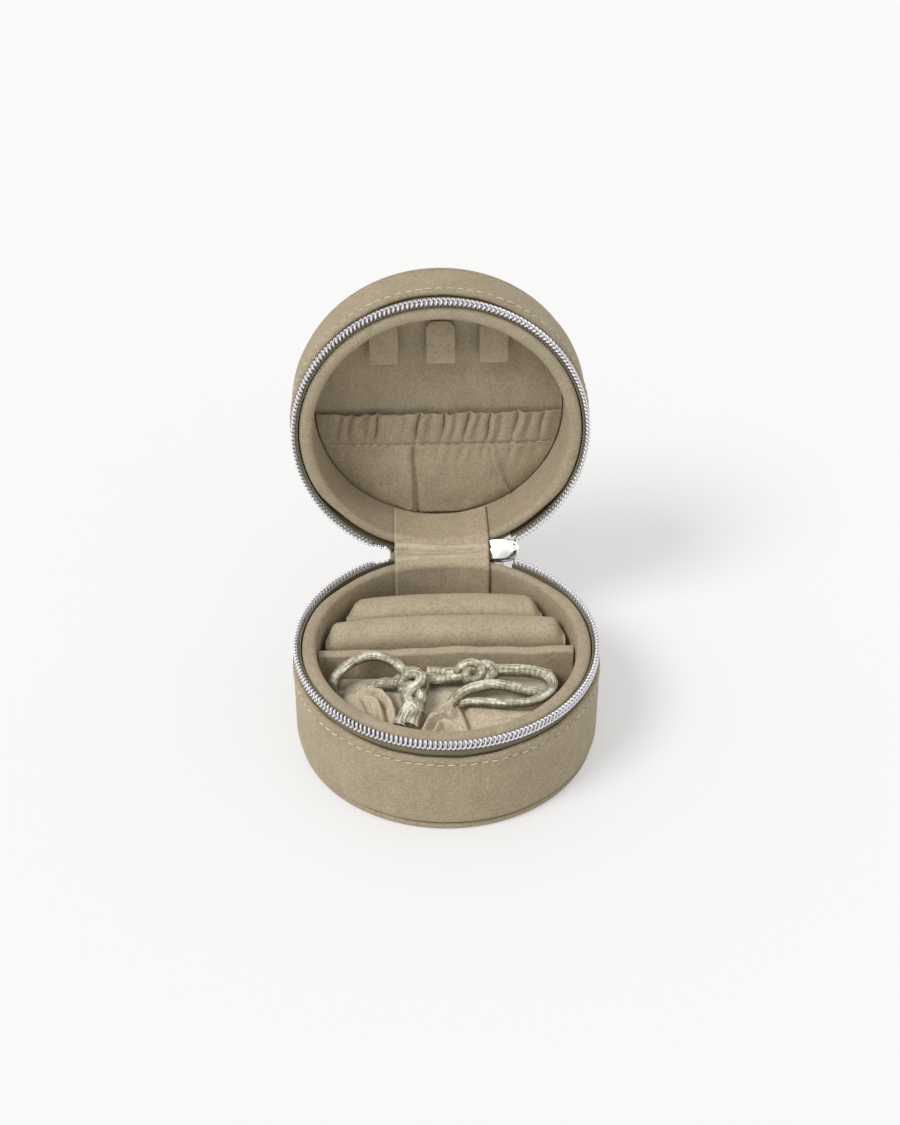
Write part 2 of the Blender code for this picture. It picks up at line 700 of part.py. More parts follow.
def zip_pull(pivot):
    """A flat pull whose window hooks under the slider's bridge, hanging towards the back."""
    half = PULL_WIDTH / 2
    low = -PULL_BAR / 2
    neck = PULL_WINDOW[0] / 2 + PULL_BAR
    end = PULL_LENGTH + low
    outline = [(-neck, low), (neck, low), (neck, low + PULL_WINDOW[1]), (half, low + 2 * PULL_WINDOW[1])]
    outline += arc(0.0, end - half, half, 0.0, 180.0, 2 * PULL_CORNER_STEPS)
    outline += [(-half, low + 2 * PULL_WINDOW[1]), (-neck, low + PULL_WINDOW[1])]
    window_half = PULL_WINDOW[0] / 2
    window = rectangle(-window_half, window_half, -low, -low + PULL_WINDOW[1])
    curve = flat_curve("zip_pull", [outline, window], PULL_THICKNESS)
    pull = add("zip_pull", curve, POLISHED_METAL, pivot, pull_axis())
    outward = Vector((0.0, 1.0, 0.0))
    up = Vector((0.0, 0.0, 1.0))
    frame = Matrix((up, outward, up.cross(outward))).transposed()
    pull.rotation_euler = frame.to_euler()
    return pull


# Fabric hinge


def belt(y, depth):
    """The strip's run round both rims at one column: base wall, rim, rim and lid wall."""
    reach = COLLAR_WIDTH / 2 + GAP + STRIP_THICKNESS / 2
    base_rim = Vector((y + reach, BASE_HEIGHT - depth))
    lid_rim = Vector(opened(y + reach, BASE_HEIGHT + depth))
    way = (lid_rim - base_rim).normalized()
    lift = math.degrees(math.atan2(way.y, way.x)) + 90.0
    lid_wall = 180.0 - math.degrees(LID_OPEN)
    points = [(y, STRIP_FOOT)]
    points += arc(base_rim.x, base_rim.y, reach, 180.0, lift, 3)
    points += arc(lid_rim.x, lid_rim.y, reach, lift, lid_wall, 3)
    points.append(opened(y, LID_CEILING - STRIP_HEAD_GAP))
    return points


def hinge_strip():
    """Inner velvet from the base's collar to the lid's, round both rims."""
    radius = COLLAR_IN - GAP - STRIP_THICKNESS / 2
    depth = RIM_DROP + COLLAR_WIDTH / 2
    columns = []
    for i in range(STRIP_COLUMNS + 1):
        x = STRIP_HALF_WIDTH * (2 * i / STRIP_COLUMNS - 1)
        columns.append([(x, y, z) for y, z in belt(across(radius, x), depth)])
    return sheet("hinge_strip", columns, STRIP_THICKNESS, LINING_VELVET)


def rounded(points):
    """An open line with its corners cut once, for a soft bend."""
    line = [Vector(points[0])]
    for here, there in zip(points, points[1:]):
        a, b = Vector(here), Vector(there)
        line += [a.lerp(b, 0.25), a.lerp(b, 0.75)]
    line.append(Vector(points[-1]))
    return line


def hinge_spine():
    """Outer velvet lapped on both walls, its spare length folded up between them."""
    radius = CASE_RADIUS + GAP + SPINE_THICKNESS / 2
    edge = BASE_HEIGHT - COVER_EDGE
    columns = []
    for i in range(SPINE_COLUMNS + 1):
        x = SPINE_HALF_WIDTH * (2 * i / SPINE_COLUMNS - 1)
        y = across(radius, x)
        lid_y, lid_z = opened(y, BASE_HEIGHT + COVER_EDGE - SPINE_EASE)
        fold_y = max(y + SPINE_FOLD, lid_y - SPINE_TURN)
        fold_z = max(edge + SPINE_RISE, lid_z + SPINE_TURN)
        run = [
            (y, edge - SPINE_LAP), (y, edge), (y, edge + SPINE_RISE), (fold_y, fold_z),
            (lid_y, lid_z), opened(y, BASE_HEIGHT + COVER_EDGE + SPINE_LAP),
        ]
        columns.append([(x, point.x, point.y) for point in rounded(run)])
    return sheet("hinge_spine", columns, SPINE_THICKNESS, VELVET)


# Inside the base


def divider():
    """A board across the base under an upside-down U of velvet."""
    low = BASE_FLOOR + GAP
    top = BASE_HEIGHT - DIVIDER_DROP
    half = DIVIDER_THICKNESS / 2
    skin = DIVIDER_VELVET
    length = 2 * (across(LINING_RADIUS, DIVIDER_Y + half) - GAP)
    outer = [
        (-half, low), (-half, top - DIVIDER_EDGE), (-half + DIVIDER_EDGE, top),
        (half - DIVIDER_EDGE, top), (half, top - DIVIDER_EDGE), (half, low),
    ]
    inner = [(half - skin, low), (half - skin, top - skin), (skin - half, top - skin), (skin - half, low)]
    board = half - skin - GAP
    shapes = {
        "divider_cover": (outer + inner, LINING_VELVET),
        "divider_board": (rectangle(-board, board, low, top - skin - GAP), GREYBOARD),
    }
    for name, (outline, finish) in shapes.items():
        plate = add(name, flat_curve(name, [outline], length), finish, None, (0.0, DIVIDER_Y, 0.0))
        plate.rotation_euler = (math.pi / 2, 0.0, math.pi / 2)


def ring_roll(which, middle):
    """A padded bar that grips rings, crowned along its top and drawn in at its ends."""
    wall = LINING_RADIUS - ROLL_WALL_GAPS[which]
    low = BASE_FLOOR + GAP
    front = middle - ROLL_THICKNESS / 2
    end = across(wall, front + ROLL_THICKNESS / 2)
    sections = []
    for i in range(ROLL_STATIONS + 1):
        x = -end * math.cos(math.pi * i / ROLL_STATIONS)
        back = min(middle + ROLL_THICKNESS / 2, across(wall, x))
        half = (back - front) / 2
        drop = ROLL_ARCH * (x / end) ** 2
        drop += ROLL_END_DROP * smooth_step(end - ROLL_END_LENGTH, end, abs(x)) ** 2
        crest = BASE_HEIGHT - ROLL_DROP - drop - half
        line = [(back, low)]
        line += arc(front + half, crest, half, 0.0, 180.0, ROLL_CREST_POINTS)
        line.append((front, low))
        sections.append([(x, y, z) for y, z in line])
    return loft(f"ring_roll_{which}", sections, LINING_VELVET)


# Inside the lid


def lid_pocket(pivot):
    """Gathered cloth over the lower half of the lining, drawn in by an elastic hem."""
    radius = LINING_RADIUS - GAP
    bottom = LINING_RADIUS - POCKET_WALL_GAP
    rows = []
    for i in range(POCKET_ROWS + 1):
        share = i / POCKET_ROWS
        y = POCKET_TOP_Y + (bottom - POCKET_TOP_Y) * share
        hem = 1.0 - smooth_step(POCKET_TOP_Y, POCKET_TOP_Y + 1.6 * POCKET_HEM, y)
        row = []
        for j in range(POCKET_COLUMNS + 1):
            across_share = 2 * j / POCKET_COLUMNS - 1
            free = 1.0 - across_share ** 6
            ripple = 0.5 - 0.5 * math.cos(math.tau * GATHERS * (j / POCKET_COLUMNS))
            stand = POCKET_STAND_OFF + free * GATHER_DEPTH * ripple * (0.25 + 0.75 * hem)
            stand += POCKET_PUFF * free * math.sin(math.pi * share)
            row.append((across_share * across(radius, y), y, LID_CEILING - stand))
        rows.append(row)
    sheet("lid_pocket", rows, POCKET_SHEET, LINING_VELVET, pivot)
    middle = POCKET_TOP_Y + POCKET_HEM / 2
    low = middle + ELASTIC_WIDTH / 2
    half = across(radius, low) - ELASTIC_SIDE_GAP
    outline = rectangle(-half, half, -ELASTIC_WIDTH / 2, ELASTIC_WIDTH / 2)
    band = flat_curve("pocket_elastic", [outline], ELASTIC_THICKNESS)
    place = (0.0, middle, LID_CEILING - GAP - ELASTIC_THICKNESS / 2)
    add("pocket_elastic", band, ELASTIC_WEAVE, pivot, place)


def necklace_tab(which, x, lid_pivot):
    """A tab sewn to the lining at its rounded end and snapped shut at the other."""
    sewn = Vector((x, TAB_SEWN_Y, LID_CEILING - GAP - TAB_THICKNESS / 2))
    pivot = add_pivot(f"tab_pivot_{which}", sewn, -TAB_LIFT, lid_pivot)
    half = TAB_WIDTH / 2
    outline = [(half, TAB_LENGTH), (-half, TAB_LENGTH)]
    outline += arc(-half + TAB_ROUND, TAB_ROUND, TAB_ROUND, 180.0, 270.0, 3)
    outline += arc(half - TAB_ROUND, TAB_ROUND, TAB_ROUND, 270.0, 360.0, 3)
    name = f"necklace_tab_{which}"
    add(name, flat_curve(name, [outline], TAB_THICKNESS), LINING_VELVET, pivot, sewn)

    nub_radius, nub_height = SNAP_NUB
    stud_top = SNAP_THICKNESS + nub_height
    stud = [
        (0.0, stud_top), (nub_radius, stud_top), (nub_radius, SNAP_THICKNESS),
        (SNAP_RADIUS, SNAP_THICKNESS), (SNAP_RADIUS, 0.0), (0.0, 0.0),
    ]
    place = sewn + Vector((0.0, SNAP_REACH, TAB_THICKNESS / 2 + GAP))
    turned(f"snap_stud_{which}", stud, POLISHED_METAL, pivot, place, ring=False, steps=SNAP_SEGMENTS)
    socket = [
        (SNAP_RADIUS, SNAP_THICKNESS), (SNAP_RADIUS, 0.0), (SNAP_HOLE, 0.0), (SNAP_HOLE, SNAP_THICKNESS),
    ]
    reach = SNAP_REACH * math.cos(TAB_LIFT) + SNAP_THICKNESS * math.sin(TAB_LIFT)
    place = Vector((x, TAB_SEWN_Y + reach, LID_CEILING - GAP - SNAP_THICKNESS))
    turned(f"snap_socket_{which}", socket, POLISHED_METAL, lid_pivot, place, steps=SNAP_SEGMENTS)


# Drawstring pouch


def pouch_bag(pivot):
    """The folded pouch, lying in the front half of the base and lower at its left end."""
    low = BASE_FLOOR + GAP
    wall = LINING_RADIUS - POUCH_WALL_GAP
    back = DIVIDER_Y - DIVIDER_THICKNESS / 2 - POUCH_BACK_GAP
    reach = LINING_RADIUS - POUCH_END_GAP
    sections = []
    for i in range(POUCH_STATIONS + 1):
        x = reach * (2 * i / POUCH_STATIONS - 1)
        front = -across(wall, x)
        rise = smooth_step(*POUCH_LOW_X, x)
        top = BASE_HEIGHT - POUCH_LOW_DROP + (POUCH_LOW_DROP - POUCH_DROP) * rise
        end = smooth_step(reach - POUCH_SIDE_ROUND, reach, abs(x))
        top -= POUCH_SIDE_ROUND * end * end
        corner = min(POUCH_SIDE_ROUND, (top - low) / 2)
        line = [(back, low), *arc(back - corner, top - corner, corner, 0.0, 90.0, 3)]
        line += [*arc(front + corner, top - corner, corner, 90.0, 180.0, 3), (front, low)]
        sections.append([(x, y, z) for y, z in line])
    return loft("pouch_bag", sections, LINING_VELVET, pivot)


def below_rim(points):
    return [(x * MM, y * MM, BASE_HEIGHT + z * MM) for x, y, z in points]


def pouch_cords(pivot):
    """The drawstrings' loops and tails on top of the pouch."""
    routes = {"pouch_cord_left": LEFT_LOOP, "pouch_cord_right": RIGHT_LOOP}
    routes["pouch_strand_right"] = RIGHT_STRAND
    for name, route in {**routes, **TAILS}.items():
        tube(name, smooth_route(below_rim(route), CORD_STEP), CORD, SATIN_CORD, pivot)


def pouch_knot(name, place, turn, pivot):
    """An overhand knot drawn as its three interlocked lobes."""
    wide, deep, tall = KNOT_SPREAD
    points = []
    for i in range(KNOT_POINTS):
        t = math.tau * i / KNOT_POINTS
        x = wide * (math.sin(t) + 2 * math.sin(2 * t))
        y = deep * (math.cos(t) - 2 * math.cos(2 * t))
        z = -tall * math.sin(3 * t)
        point = Matrix.Rotation(turn, 3, "Z") @ Vector((x, y, z))
        points.append(point + Vector(place) + RIM_CENTRE)
    tube(name, points, KNOT_CORD, SATIN_CORD, pivot, resolution=1, loop=True)


# Assembly

PANEL_NAMES = {"base": "bottom_panel", "lid": "top_panel"}
LINING_NAMES = {"base": "floor_lining", "lid": "lining"}

clear_scene()
PARTS = new_collection("travel_jewelry_case")
CUTTERS = new_collection("cutters")


def main():
    lid_pivot = add_pivot("lid_pivot", HINGE, -LID_OPEN)
    tail_pivot = add_pivot("zip_tail_pivot", HINGE, -LID_OPEN / 2)
    slider_pivot = add_pivot("slider_pivot", RIM_CENTRE, 0.0, tail_pivot)
    pouch_pivot = add_pivot("pouch_pivot", (0.0, 0.0, 0.0))
    base = Half("base", BASE_HEIGHT, 0.0, 1, None)
    lid = Half("lid", LID_HEIGHT, BASE_HEIGHT + LID_HEIGHT, -1, lid_pivot)

    for half, lining_thickness, row_offset in ((base, BASE_LINING, 0.0), (lid, LID_LINING, PITCH / 2)):
        panel(half)
        panel_board(half)
        lining(half, lining_thickness)
        wall_board(half)
        wall_cover(half)
        collar_core(half)
        collar_wrap(half)
        zip_tape(half)
        zip_coil(half, row_offset)
        zip_stop(half)

    zip_tail(tail_pivot)
    zip_slider(slider_pivot)
    zip_pull(slider_pivot)
    hinge_strip()
    hinge_spine()

    divider()
    roll_y = DIVIDER_Y + DIVIDER_THICKNESS / 2 + ROLL_FRONT_GAP + ROLL_THICKNESS / 2
    ring_roll("front", roll_y)
    ring_roll("back", roll_y + ROLL_THICKNESS + GAP)

    lid_pocket(lid_pivot)
    for which, x in TAB_PLACES.items():
        necklace_tab(which, x, lid_pivot)

    pouch_bag(pouch_pivot)
    pouch_cords(pouch_pivot)
    pouch_knot("pouch_knot_left", LEFT_KNOT, math.pi / 2, pouch_pivot)
    pouch_knot("pouch_knot_right", RIGHT_KNOT, 0.0, pouch_pivot)


main()
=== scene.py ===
import math

import bmesh
import bpy
import numpy as np
from mathutils import Matrix, Vector


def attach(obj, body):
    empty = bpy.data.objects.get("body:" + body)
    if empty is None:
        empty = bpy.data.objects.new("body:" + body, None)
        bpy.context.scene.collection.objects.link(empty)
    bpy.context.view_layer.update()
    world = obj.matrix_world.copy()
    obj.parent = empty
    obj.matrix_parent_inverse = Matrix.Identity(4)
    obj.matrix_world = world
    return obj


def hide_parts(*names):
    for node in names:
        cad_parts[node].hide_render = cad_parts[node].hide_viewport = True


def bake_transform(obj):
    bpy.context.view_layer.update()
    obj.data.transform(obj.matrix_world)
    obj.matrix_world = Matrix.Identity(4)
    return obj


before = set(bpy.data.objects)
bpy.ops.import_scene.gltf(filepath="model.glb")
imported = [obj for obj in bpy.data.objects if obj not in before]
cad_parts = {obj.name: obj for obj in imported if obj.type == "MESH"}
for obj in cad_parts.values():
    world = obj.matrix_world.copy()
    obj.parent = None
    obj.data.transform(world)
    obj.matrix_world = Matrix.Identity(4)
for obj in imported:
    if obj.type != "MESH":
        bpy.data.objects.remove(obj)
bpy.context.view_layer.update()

bl_info = {
    "name": "Travel jewelry case",
    "version": (1, 0, 0),
    "blender": (4, 5, 0),
    "location": "View3D > Sidebar > Jewelry case",
    "description": "Builds the velvet, zip, cords and studio of a round travel jewelry case",
    "category": "Add Mesh",
}

MM = 0.001
TAU = math.tau

# The case's own sizes, as packed
CASE_RADIUS = 49.0 * MM
BASE_HEIGHT = 36.6 * MM
LID_HEIGHT = 26.1 * MM
LID_OPEN = math.radians(93.0)
HINGE = Vector((0.0, 45.7 * MM, 35.5 * MM))
COVER_IN = 47.2 * MM
COVER_EDGE = 5.4 * MM
LINING_RADIUS = 41.3 * MM
COLLAR_IN = 41.6 * MM
COLLAR_OUT = 44.8 * MM
TAPE_IN = 46.4 * MM
TAPE_OUT = 46.9 * MM
COIL_IN = 47.2 * MM
COIL_OUT = 48.9 * MM
RIM_RADIUS = 48.05 * MM
RIM_LENGTH = TAU * RIM_RADIUS
LAYER_1 = 2.7 * MM
LAYER_2 = 4.5 * MM
BASE_FLOOR = 5.5 * MM
LID_CEILING = 56.9 * MM
RIM_DROP = 0.5 * MM
SLIDER_TAIL = 15.26 * MM
SLIDER_NOSE = 26.56 * MM
ROW_END = RIM_LENGTH - 18.95 * MM
SPLAY_START = RIM_LENGTH - 25.7 * MM
SLIDER_OUTER = (49.2 * MM, 50.0 * MM)
SLIDER_INNER = (45.3 * MM, 46.1 * MM)
FLOOR_GAP = 0.3 * MM
DIVIDER_MIDDLE = 2.1 * MM
DIVIDER_HALF = 1.7 * MM
ROLL_THICKNESS = 11.1 * MM
STRIP_HALF = 15.5 * MM
STRIP_RADIUS = 40.9 * MM
SPINE_HALF = 17.0 * MM
SPINE_RADIUS = 49.75 * MM
PLAIT = 3.4 * MM

# Where the camera stood, fitted to the photograph's frame
FOCAL = 74.76
CAMERA_DISTANCE = 595.0 * MM
CAMERA_TILT = math.radians(37.3)
CAMERA_SHIFT = (-1.11 * MM, -24.45 * MM)
CASE_TURN = math.radians(2.15)

# Studio
SKY_LIGHT = 0.70
SKY_SEEN = 0.93
SUN_LIGHT = 1.75
SUN_WIDTH = math.radians(24.0)
SUN_FROM = Vector((-0.55, -0.38, 0.79))
FLOOR_HALF = 3.0
FLOOR_LOW = -0.02 * MM
FLOOR_GLOW = 0.94
GLOW_SHARE = 0.40


class CaseSizes(bpy.types.PropertyGroup):
    thread: bpy.props.FloatProperty(
        name="Thread", description="Diameter of the sewing thread", default=0.46 * MM, unit="LENGTH")
    stitch: bpy.props.FloatProperty(
        name="Stitch", description="Length of one stitch", default=2.5 * MM, unit="LENGTH")
    stitch_pitch: bpy.props.FloatProperty(
        name="Stitch pitch", description="From stitch to stitch on the walls", default=3.3 * MM, unit="LENGTH")
    stitch_depth: bpy.props.FloatProperty(
        name="Stitch line", description="From the rim's plane to the stitches", default=8.6 * MM, unit="LENGTH")
    coil_pitch: bpy.props.FloatProperty(
        name="Coil pitch", description="From turn to turn of a zip row", default=1.5 * MM, unit="LENGTH")
    coil_wire: bpy.props.FloatProperty(
        name="Coil wire", description="Radius of the coil's wire", default=0.34 * MM, unit="LENGTH")
    cord: bpy.props.FloatProperty(
        name="Cord", description="Diameter of the drawstrings", default=3.4 * MM, unit="LENGTH")
    braid: bpy.props.FloatProperty(
        name="Braid relief", description="Height of the braid's strands", default=0.08 * MM, unit="LENGTH")
    cloth_wobble: bpy.props.FloatProperty(
        name="Cloth wobble", description="How uneven glued velvet lies", default=0.16 * MM, unit="LENGTH")
    gather: bpy.props.FloatProperty(
        name="Gather", description="Depth of the pocket hem's gathers", default=2.6 * MM, unit="LENGTH")
    crease: bpy.props.FloatProperty(
        name="Crease", description="Depth of the hinge strip's creases", default=0.62 * MM, unit="LENGTH")


class CaseColours(bpy.types.PropertyGroup):
    wall: bpy.props.FloatVectorProperty(
        name="Wall velvet", description="Velvet outside", subtype="COLOR", default=(0.345, 0.283, 0.190))
    lining: bpy.props.FloatVectorProperty(
        name="Lining velvet", description="Velvet inside", subtype="COLOR", default=(0.385, 0.318, 0.222))
    # The nest velvet is the lining's velvet painted lighter for the rolls, divider, strip and tabs: a lit copy,
    # painted light.
    nest: bpy.props.FloatVectorProperty(
        name="Nest velvet", description="Velvet of rolls, divider and strip", subtype="COLOR",
        default=(0.450, 0.375, 0.262))
    # The pouch velvet is the lining's velvet painted much lighter, a lit copy standing in for the light on the pouch:
    # painted light.
    pouch: bpy.props.FloatVectorProperty(
        name="Pouch velvet", description="Velvet of the pouch", subtype="COLOR", default=(0.615, 0.530, 0.400))
    nap: bpy.props.FloatVectorProperty(
        name="Nap", description="Pale tips of the pile", subtype="COLOR", default=(0.60, 0.53, 0.39))
    tape: bpy.props.FloatVectorProperty(
        name="Zip tape", description="Woven tape", subtype="COLOR", default=(0.13, 0.116, 0.070))
    coil: bpy.props.FloatVectorProperty(
        name="Zip coil", description="Silvered coil", subtype="COLOR", default=(0.86, 0.85, 0.90))
    metal: bpy.props.FloatVectorProperty(
        name="Metal", description="Slider, pull, stops and snaps", subtype="COLOR", default=(0.90, 0.89, 0.87))
    cord: bpy.props.FloatVectorProperty(
        name="Cord", description="Satin drawstring", subtype="COLOR", default=(0.37, 0.33, 0.225))
    thread: bpy.props.FloatVectorProperty(
        name="Thread", description="Sewing thread", subtype="COLOR", default=(0.64, 0.57, 0.41))
    board: bpy.props.FloatVectorProperty(
        name="Board", description="Greyboard in the walls", subtype="COLOR", default=(0.30, 0.28, 0.25))
    elastic: bpy.props.FloatVectorProperty(
        name="Elastic", description="Band in the pocket's hem", subtype="COLOR", default=(0.42, 0.36, 0.27))
    floor: bpy.props.FloatVectorProperty(
        name="Floor", description="Studio floor", subtype="COLOR", default=(0.862, 0.862, 0.862))


def smooth_step(low, high, value):
    t = np.clip((value - low) / (high - low), 0.0, 1.0)
    return t * t * (3.0 - 2.0 * t)


def across(radius, x):
    return np.sqrt(np.maximum(radius ** 2 - np.square(x), 0.0))


def arc(centre, radius, start, end, steps):
    """Points on an arc in a plane, angles in degrees."""
    angles = np.radians(np.linspace(start, end, steps + 1))
    return [(centre[0] + radius * math.cos(a), centre[1] + radius * math.sin(a)) for a in angles]


def turned_about(pivot, angle):
    return Matrix.Translation(pivot) @ Matrix.Rotation(angle, 4, "X") @ Matrix.Translation(-pivot)


LID = turned_about(HINGE, -LID_OPEN)
TAIL = turned_about(HINGE, -LID_OPEN / 2)


def moved(matrix, points):
    """Points of the closed case where a body stands at rest."""
    m = np.array(matrix)
    return points @ m[:3, :3].T + m[:3, 3]


class Half:
    """Base or lid: a place is given by radius, angle from the back and depth below the rim's plane."""

    def __init__(self, name, height, way, matrix):
        self.name = name
        self.height = height
        self.way = way
        self.matrix = matrix

    def place(self, radius, angle, depth):
        radius, angle, depth = np.broadcast_arrays(radius, angle, depth)
        points = np.stack(
            [radius * np.sin(angle), radius * np.cos(angle), BASE_HEIGHT - self.way * depth], axis=-1)
        return moved(self.matrix, points)


BASE = Half("base", BASE_HEIGHT, 1, Matrix.Identity(4))
TOP = Half("lid", LID_HEIGHT, -1, LID)


# Meshes


def unit(vectors):
    return vectors / np.linalg.norm(vectors, axis=-1, keepdims=True)


def lengths_along(line):
    return np.concatenate([[0.0], np.cumsum(np.linalg.norm(np.diff(line, axis=0), axis=1))])


def even_line(points, count):
    """A line's points again, at even steps."""
    points = np.array(points)
    lengths = lengths_along(points)
    goals = np.linspace(0.0, lengths[-1], count)
    return np.stack([np.interp(goals, lengths, points[:, k]) for k in range(points.shape[1])], axis=-1)


def grid_faces(rows, columns, wrap_rows=False, wrap_columns=False):
    faces = []
    for i in range(rows if wrap_rows else rows - 1):
        k = (i + 1) % rows
        for j in range(columns if wrap_columns else columns - 1):
            n = (j + 1) % columns
            faces.append((i * columns + j, i * columns + n, k * columns + n, k * columns + j))
    return faces


def grid_edge(rows, columns):
    """Places round the edge of a grid, in order."""
    edge = list(range(columns)) + [i * columns + columns - 1 for i in range(1, rows)]
    edge += [(rows - 1) * columns + j for j in range(columns - 2, -1, -1)]
    return edge + [i * columns for i in range(rows - 2, 0, -1)]


def end_caps(rows, columns):
    """The two faces that close a grid wrapped into a tube."""
    return [list(range(columns)), list(range((rows - 1) * columns, rows * columns))[::-1]]


def add_piece(name, points, faces, material, body=None, replaces=(), uv=None, sharp=None):
    """A shaded mesh object in the case, riding on its body and standing for its CAD nodes."""
    mesh = bpy.data.meshes.new(name)
    mesh.from_pydata([tuple(p) for p in points], [], faces)
    bm = bmesh.new()
    bm.from_mesh(mesh)
    bmesh.ops.recalc_face_normals(bm, faces=bm.faces)
    bm.to_mesh(mesh)
    bm.free()
    mesh.shade_smooth()
    if sharp is not None:
        mesh.set_sharp_from_angle(angle=math.radians(sharp))
    if uv is not None:
        layer = mesh.uv_layers.new(name="UVMap")
        loops = np.empty(len(mesh.loops), np.int32)
        mesh.loops.foreach_get("vertex_index", loops)
        layer.data.foreach_set("uv", np.asarray(uv, np.float32)[loops].ravel())
    obj = bpy.data.objects.new(name, mesh)
    bpy.context.scene.collection.objects.link(obj)
    mesh.materials.append(material)
    if body:
        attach(obj, body)
    if replaces:
        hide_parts(*replaces)
    return obj


def wobble(angle, depth, size, seed=0.0):
    """Uneven lie of cloth on a round wall, a sum of a few long waves."""
    value = 0.0
    for k, (turns, rise, share) in enumerate(
            ((3, 40, 0.30), (5, -75, 0.24), (9, 120, 0.18), (14, -190, 0.14), (23, 260, 0.10))):
        value = value + share * np.sin(turns * angle + rise * depth + 1.7 * k + seed)
    return size * value


def lathe(half, profile, steps, shift=None, start=0.0, end=TAU, loop=True, drop=None):
    """Points, faces and texture places of a profile turned round the case's axis."""
    whole = abs(end - start - TAU) < 1e-9
    angles = start + (end - start) * np.arange(steps if whole else steps + 1) / steps
    radius = np.array([p[0] for p in profile])[None, :]
    depth = np.array([p[1] for p in profile])[None, :]
    turn = angles[:, None]
    if shift is not None:
        radius = radius + shift(radius, turn, depth)
    if drop is not None:
        depth = depth + drop(turn, depth)
    grid = half.place(radius, turn, depth)
    rows, columns = grid.shape[:2]
    faces = grid_faces(rows, columns, wrap_rows=whole, wrap_columns=loop)
    if not whole:
        faces += end_caps(rows, columns)
    if not loop:
        faces.append([i * columns for i in range(rows)])
        faces.append([i * columns + columns - 1 for i in range(rows)])
    uv = np.stack(np.broadcast_arrays(turn * RIM_RADIUS, depth), axis=-1).reshape(-1, 2)
    return grid.reshape(-1, 3), faces, uv


def grid_normals(grid):
    along = np.gradient(grid, axis=0)
    over = np.gradient(grid, axis=1)
    normal = np.cross(along, over)
    return normal / np.maximum(np.linalg.norm(normal, axis=-1, keepdims=True), 1e-12)


def thickened(grid, thickness):
    """A closed sheet with rounded edges round a grid of points."""
    rows, columns = grid.shape[:2]
    normal = grid_normals(grid) * thickness / 2
    front, back = grid + normal, grid - normal
    points = np.concatenate([front.reshape(-1, 3), back.reshape(-1, 3)])
    count = rows * columns
    faces = grid_faces(rows, columns)
    faces += [tuple(i + count for i in face[::-1]) for face in grid_faces(rows, columns)]
    edge = grid_edge(rows, columns)
    flat = grid.reshape(-1, 3)
    middle = flat.mean(axis=0)
    rim = []
    for k, i in enumerate(edge):
        before, after = flat[edge[k - 1]], flat[edge[(k + 1) % len(edge)]]
        way = np.cross(after - before, normal.reshape(-1, 3)[i])
        way /= max(np.linalg.norm(way), 1e-12)
        if np.dot(way, flat[i] - middle) < 0:
            way = -way
        rim.append(flat[i] + way * thickness * 0.45)
    start = len(points)
    points = np.concatenate([points, np.array(rim)])
    for k, i in enumerate(edge):
        n = (k + 1) % len(edge)
        faces.append((i, edge[n], start + n, start + k))
        faces.append((start + k, start + n, edge[n] + count, i + count))
    return points, faces


def frames_along(line, up=None):
    """Tangent and two cross directions at each point of a line, without needless twist."""
    tangent = unit(np.gradient(line, axis=0))
    if up is not None:
        side = unit(np.cross(tangent, up))
    else:
        side = np.empty_like(line)
        side[0] = unit(np.cross(tangent[0], (0.31, 0.22, 0.92)))
        for i in range(1, len(line)):
            side[i] = unit(side[i - 1] - tangent[i] * np.dot(side[i - 1], tangent[i]))
    return side, np.cross(side, tangent)


def tube(line, radius, sides, shape=None, up=None):
    """A tube along a line, with one radius or one for each point; shape changes it by length and angle."""
    side, over = frames_along(line, up)
    angle = TAU * np.arange(sides) / sides
    lengths = lengths_along(line)
    wide = np.broadcast_to(np.asarray(radius, float).reshape(-1, 1), (len(line), 1))
    reach = wide * np.ones((1, sides))
    if shape is not None:
        reach = shape(reach, lengths[:, None], angle[None, :])
    ring = side[:, None, :] * np.cos(angle)[None, :, None] + over[:, None, :] * np.sin(angle)[None, :, None]
    grid = line[:, None, :] + ring * reach[:, :, None]
    faces = grid_faces(len(line), sides, wrap_columns=True) + end_caps(len(line), sides)
    uv = np.stack(np.broadcast_arrays(lengths[:, None], angle[None, :] / TAU), axis=-1).reshape(-1, 2)
    return grid.reshape(-1, 3), faces, uv


def smooth_route(points, step):
    """Points at even steps along a smooth curve through a cord's own points."""
    route = [np.array(p, float) for p in points]
    route = [2 * route[0] - route[1], *route, 2 * route[-1] - route[-2]]
    fine = []
    for a, b, c, d in zip(route, route[1:], route[2:], route[3:]):
        for t in np.arange(40) / 40:
            fine.append(0.5 * (2 * b + (c - a) * t + (2 * a - 5 * b + 4 * c - d) * t ** 2
                               + (3 * b - a - 3 * c + d) * t ** 3))
    fine.append(route[-2])
    fine = np.array(fine)
    return even_line(fine, max(round(lengths_along(fine)[-1] / step), 2) + 1)


def joined(parts):
    """One list of points and faces from several."""
    points, faces, count = [], [], 0
    for some_points, some_faces in parts:
        points.append(np.asarray(some_points))
        faces += [tuple(i + count for i in face) for face in some_faces]
        count += len(some_points)
    return np.concatenate(points), faces


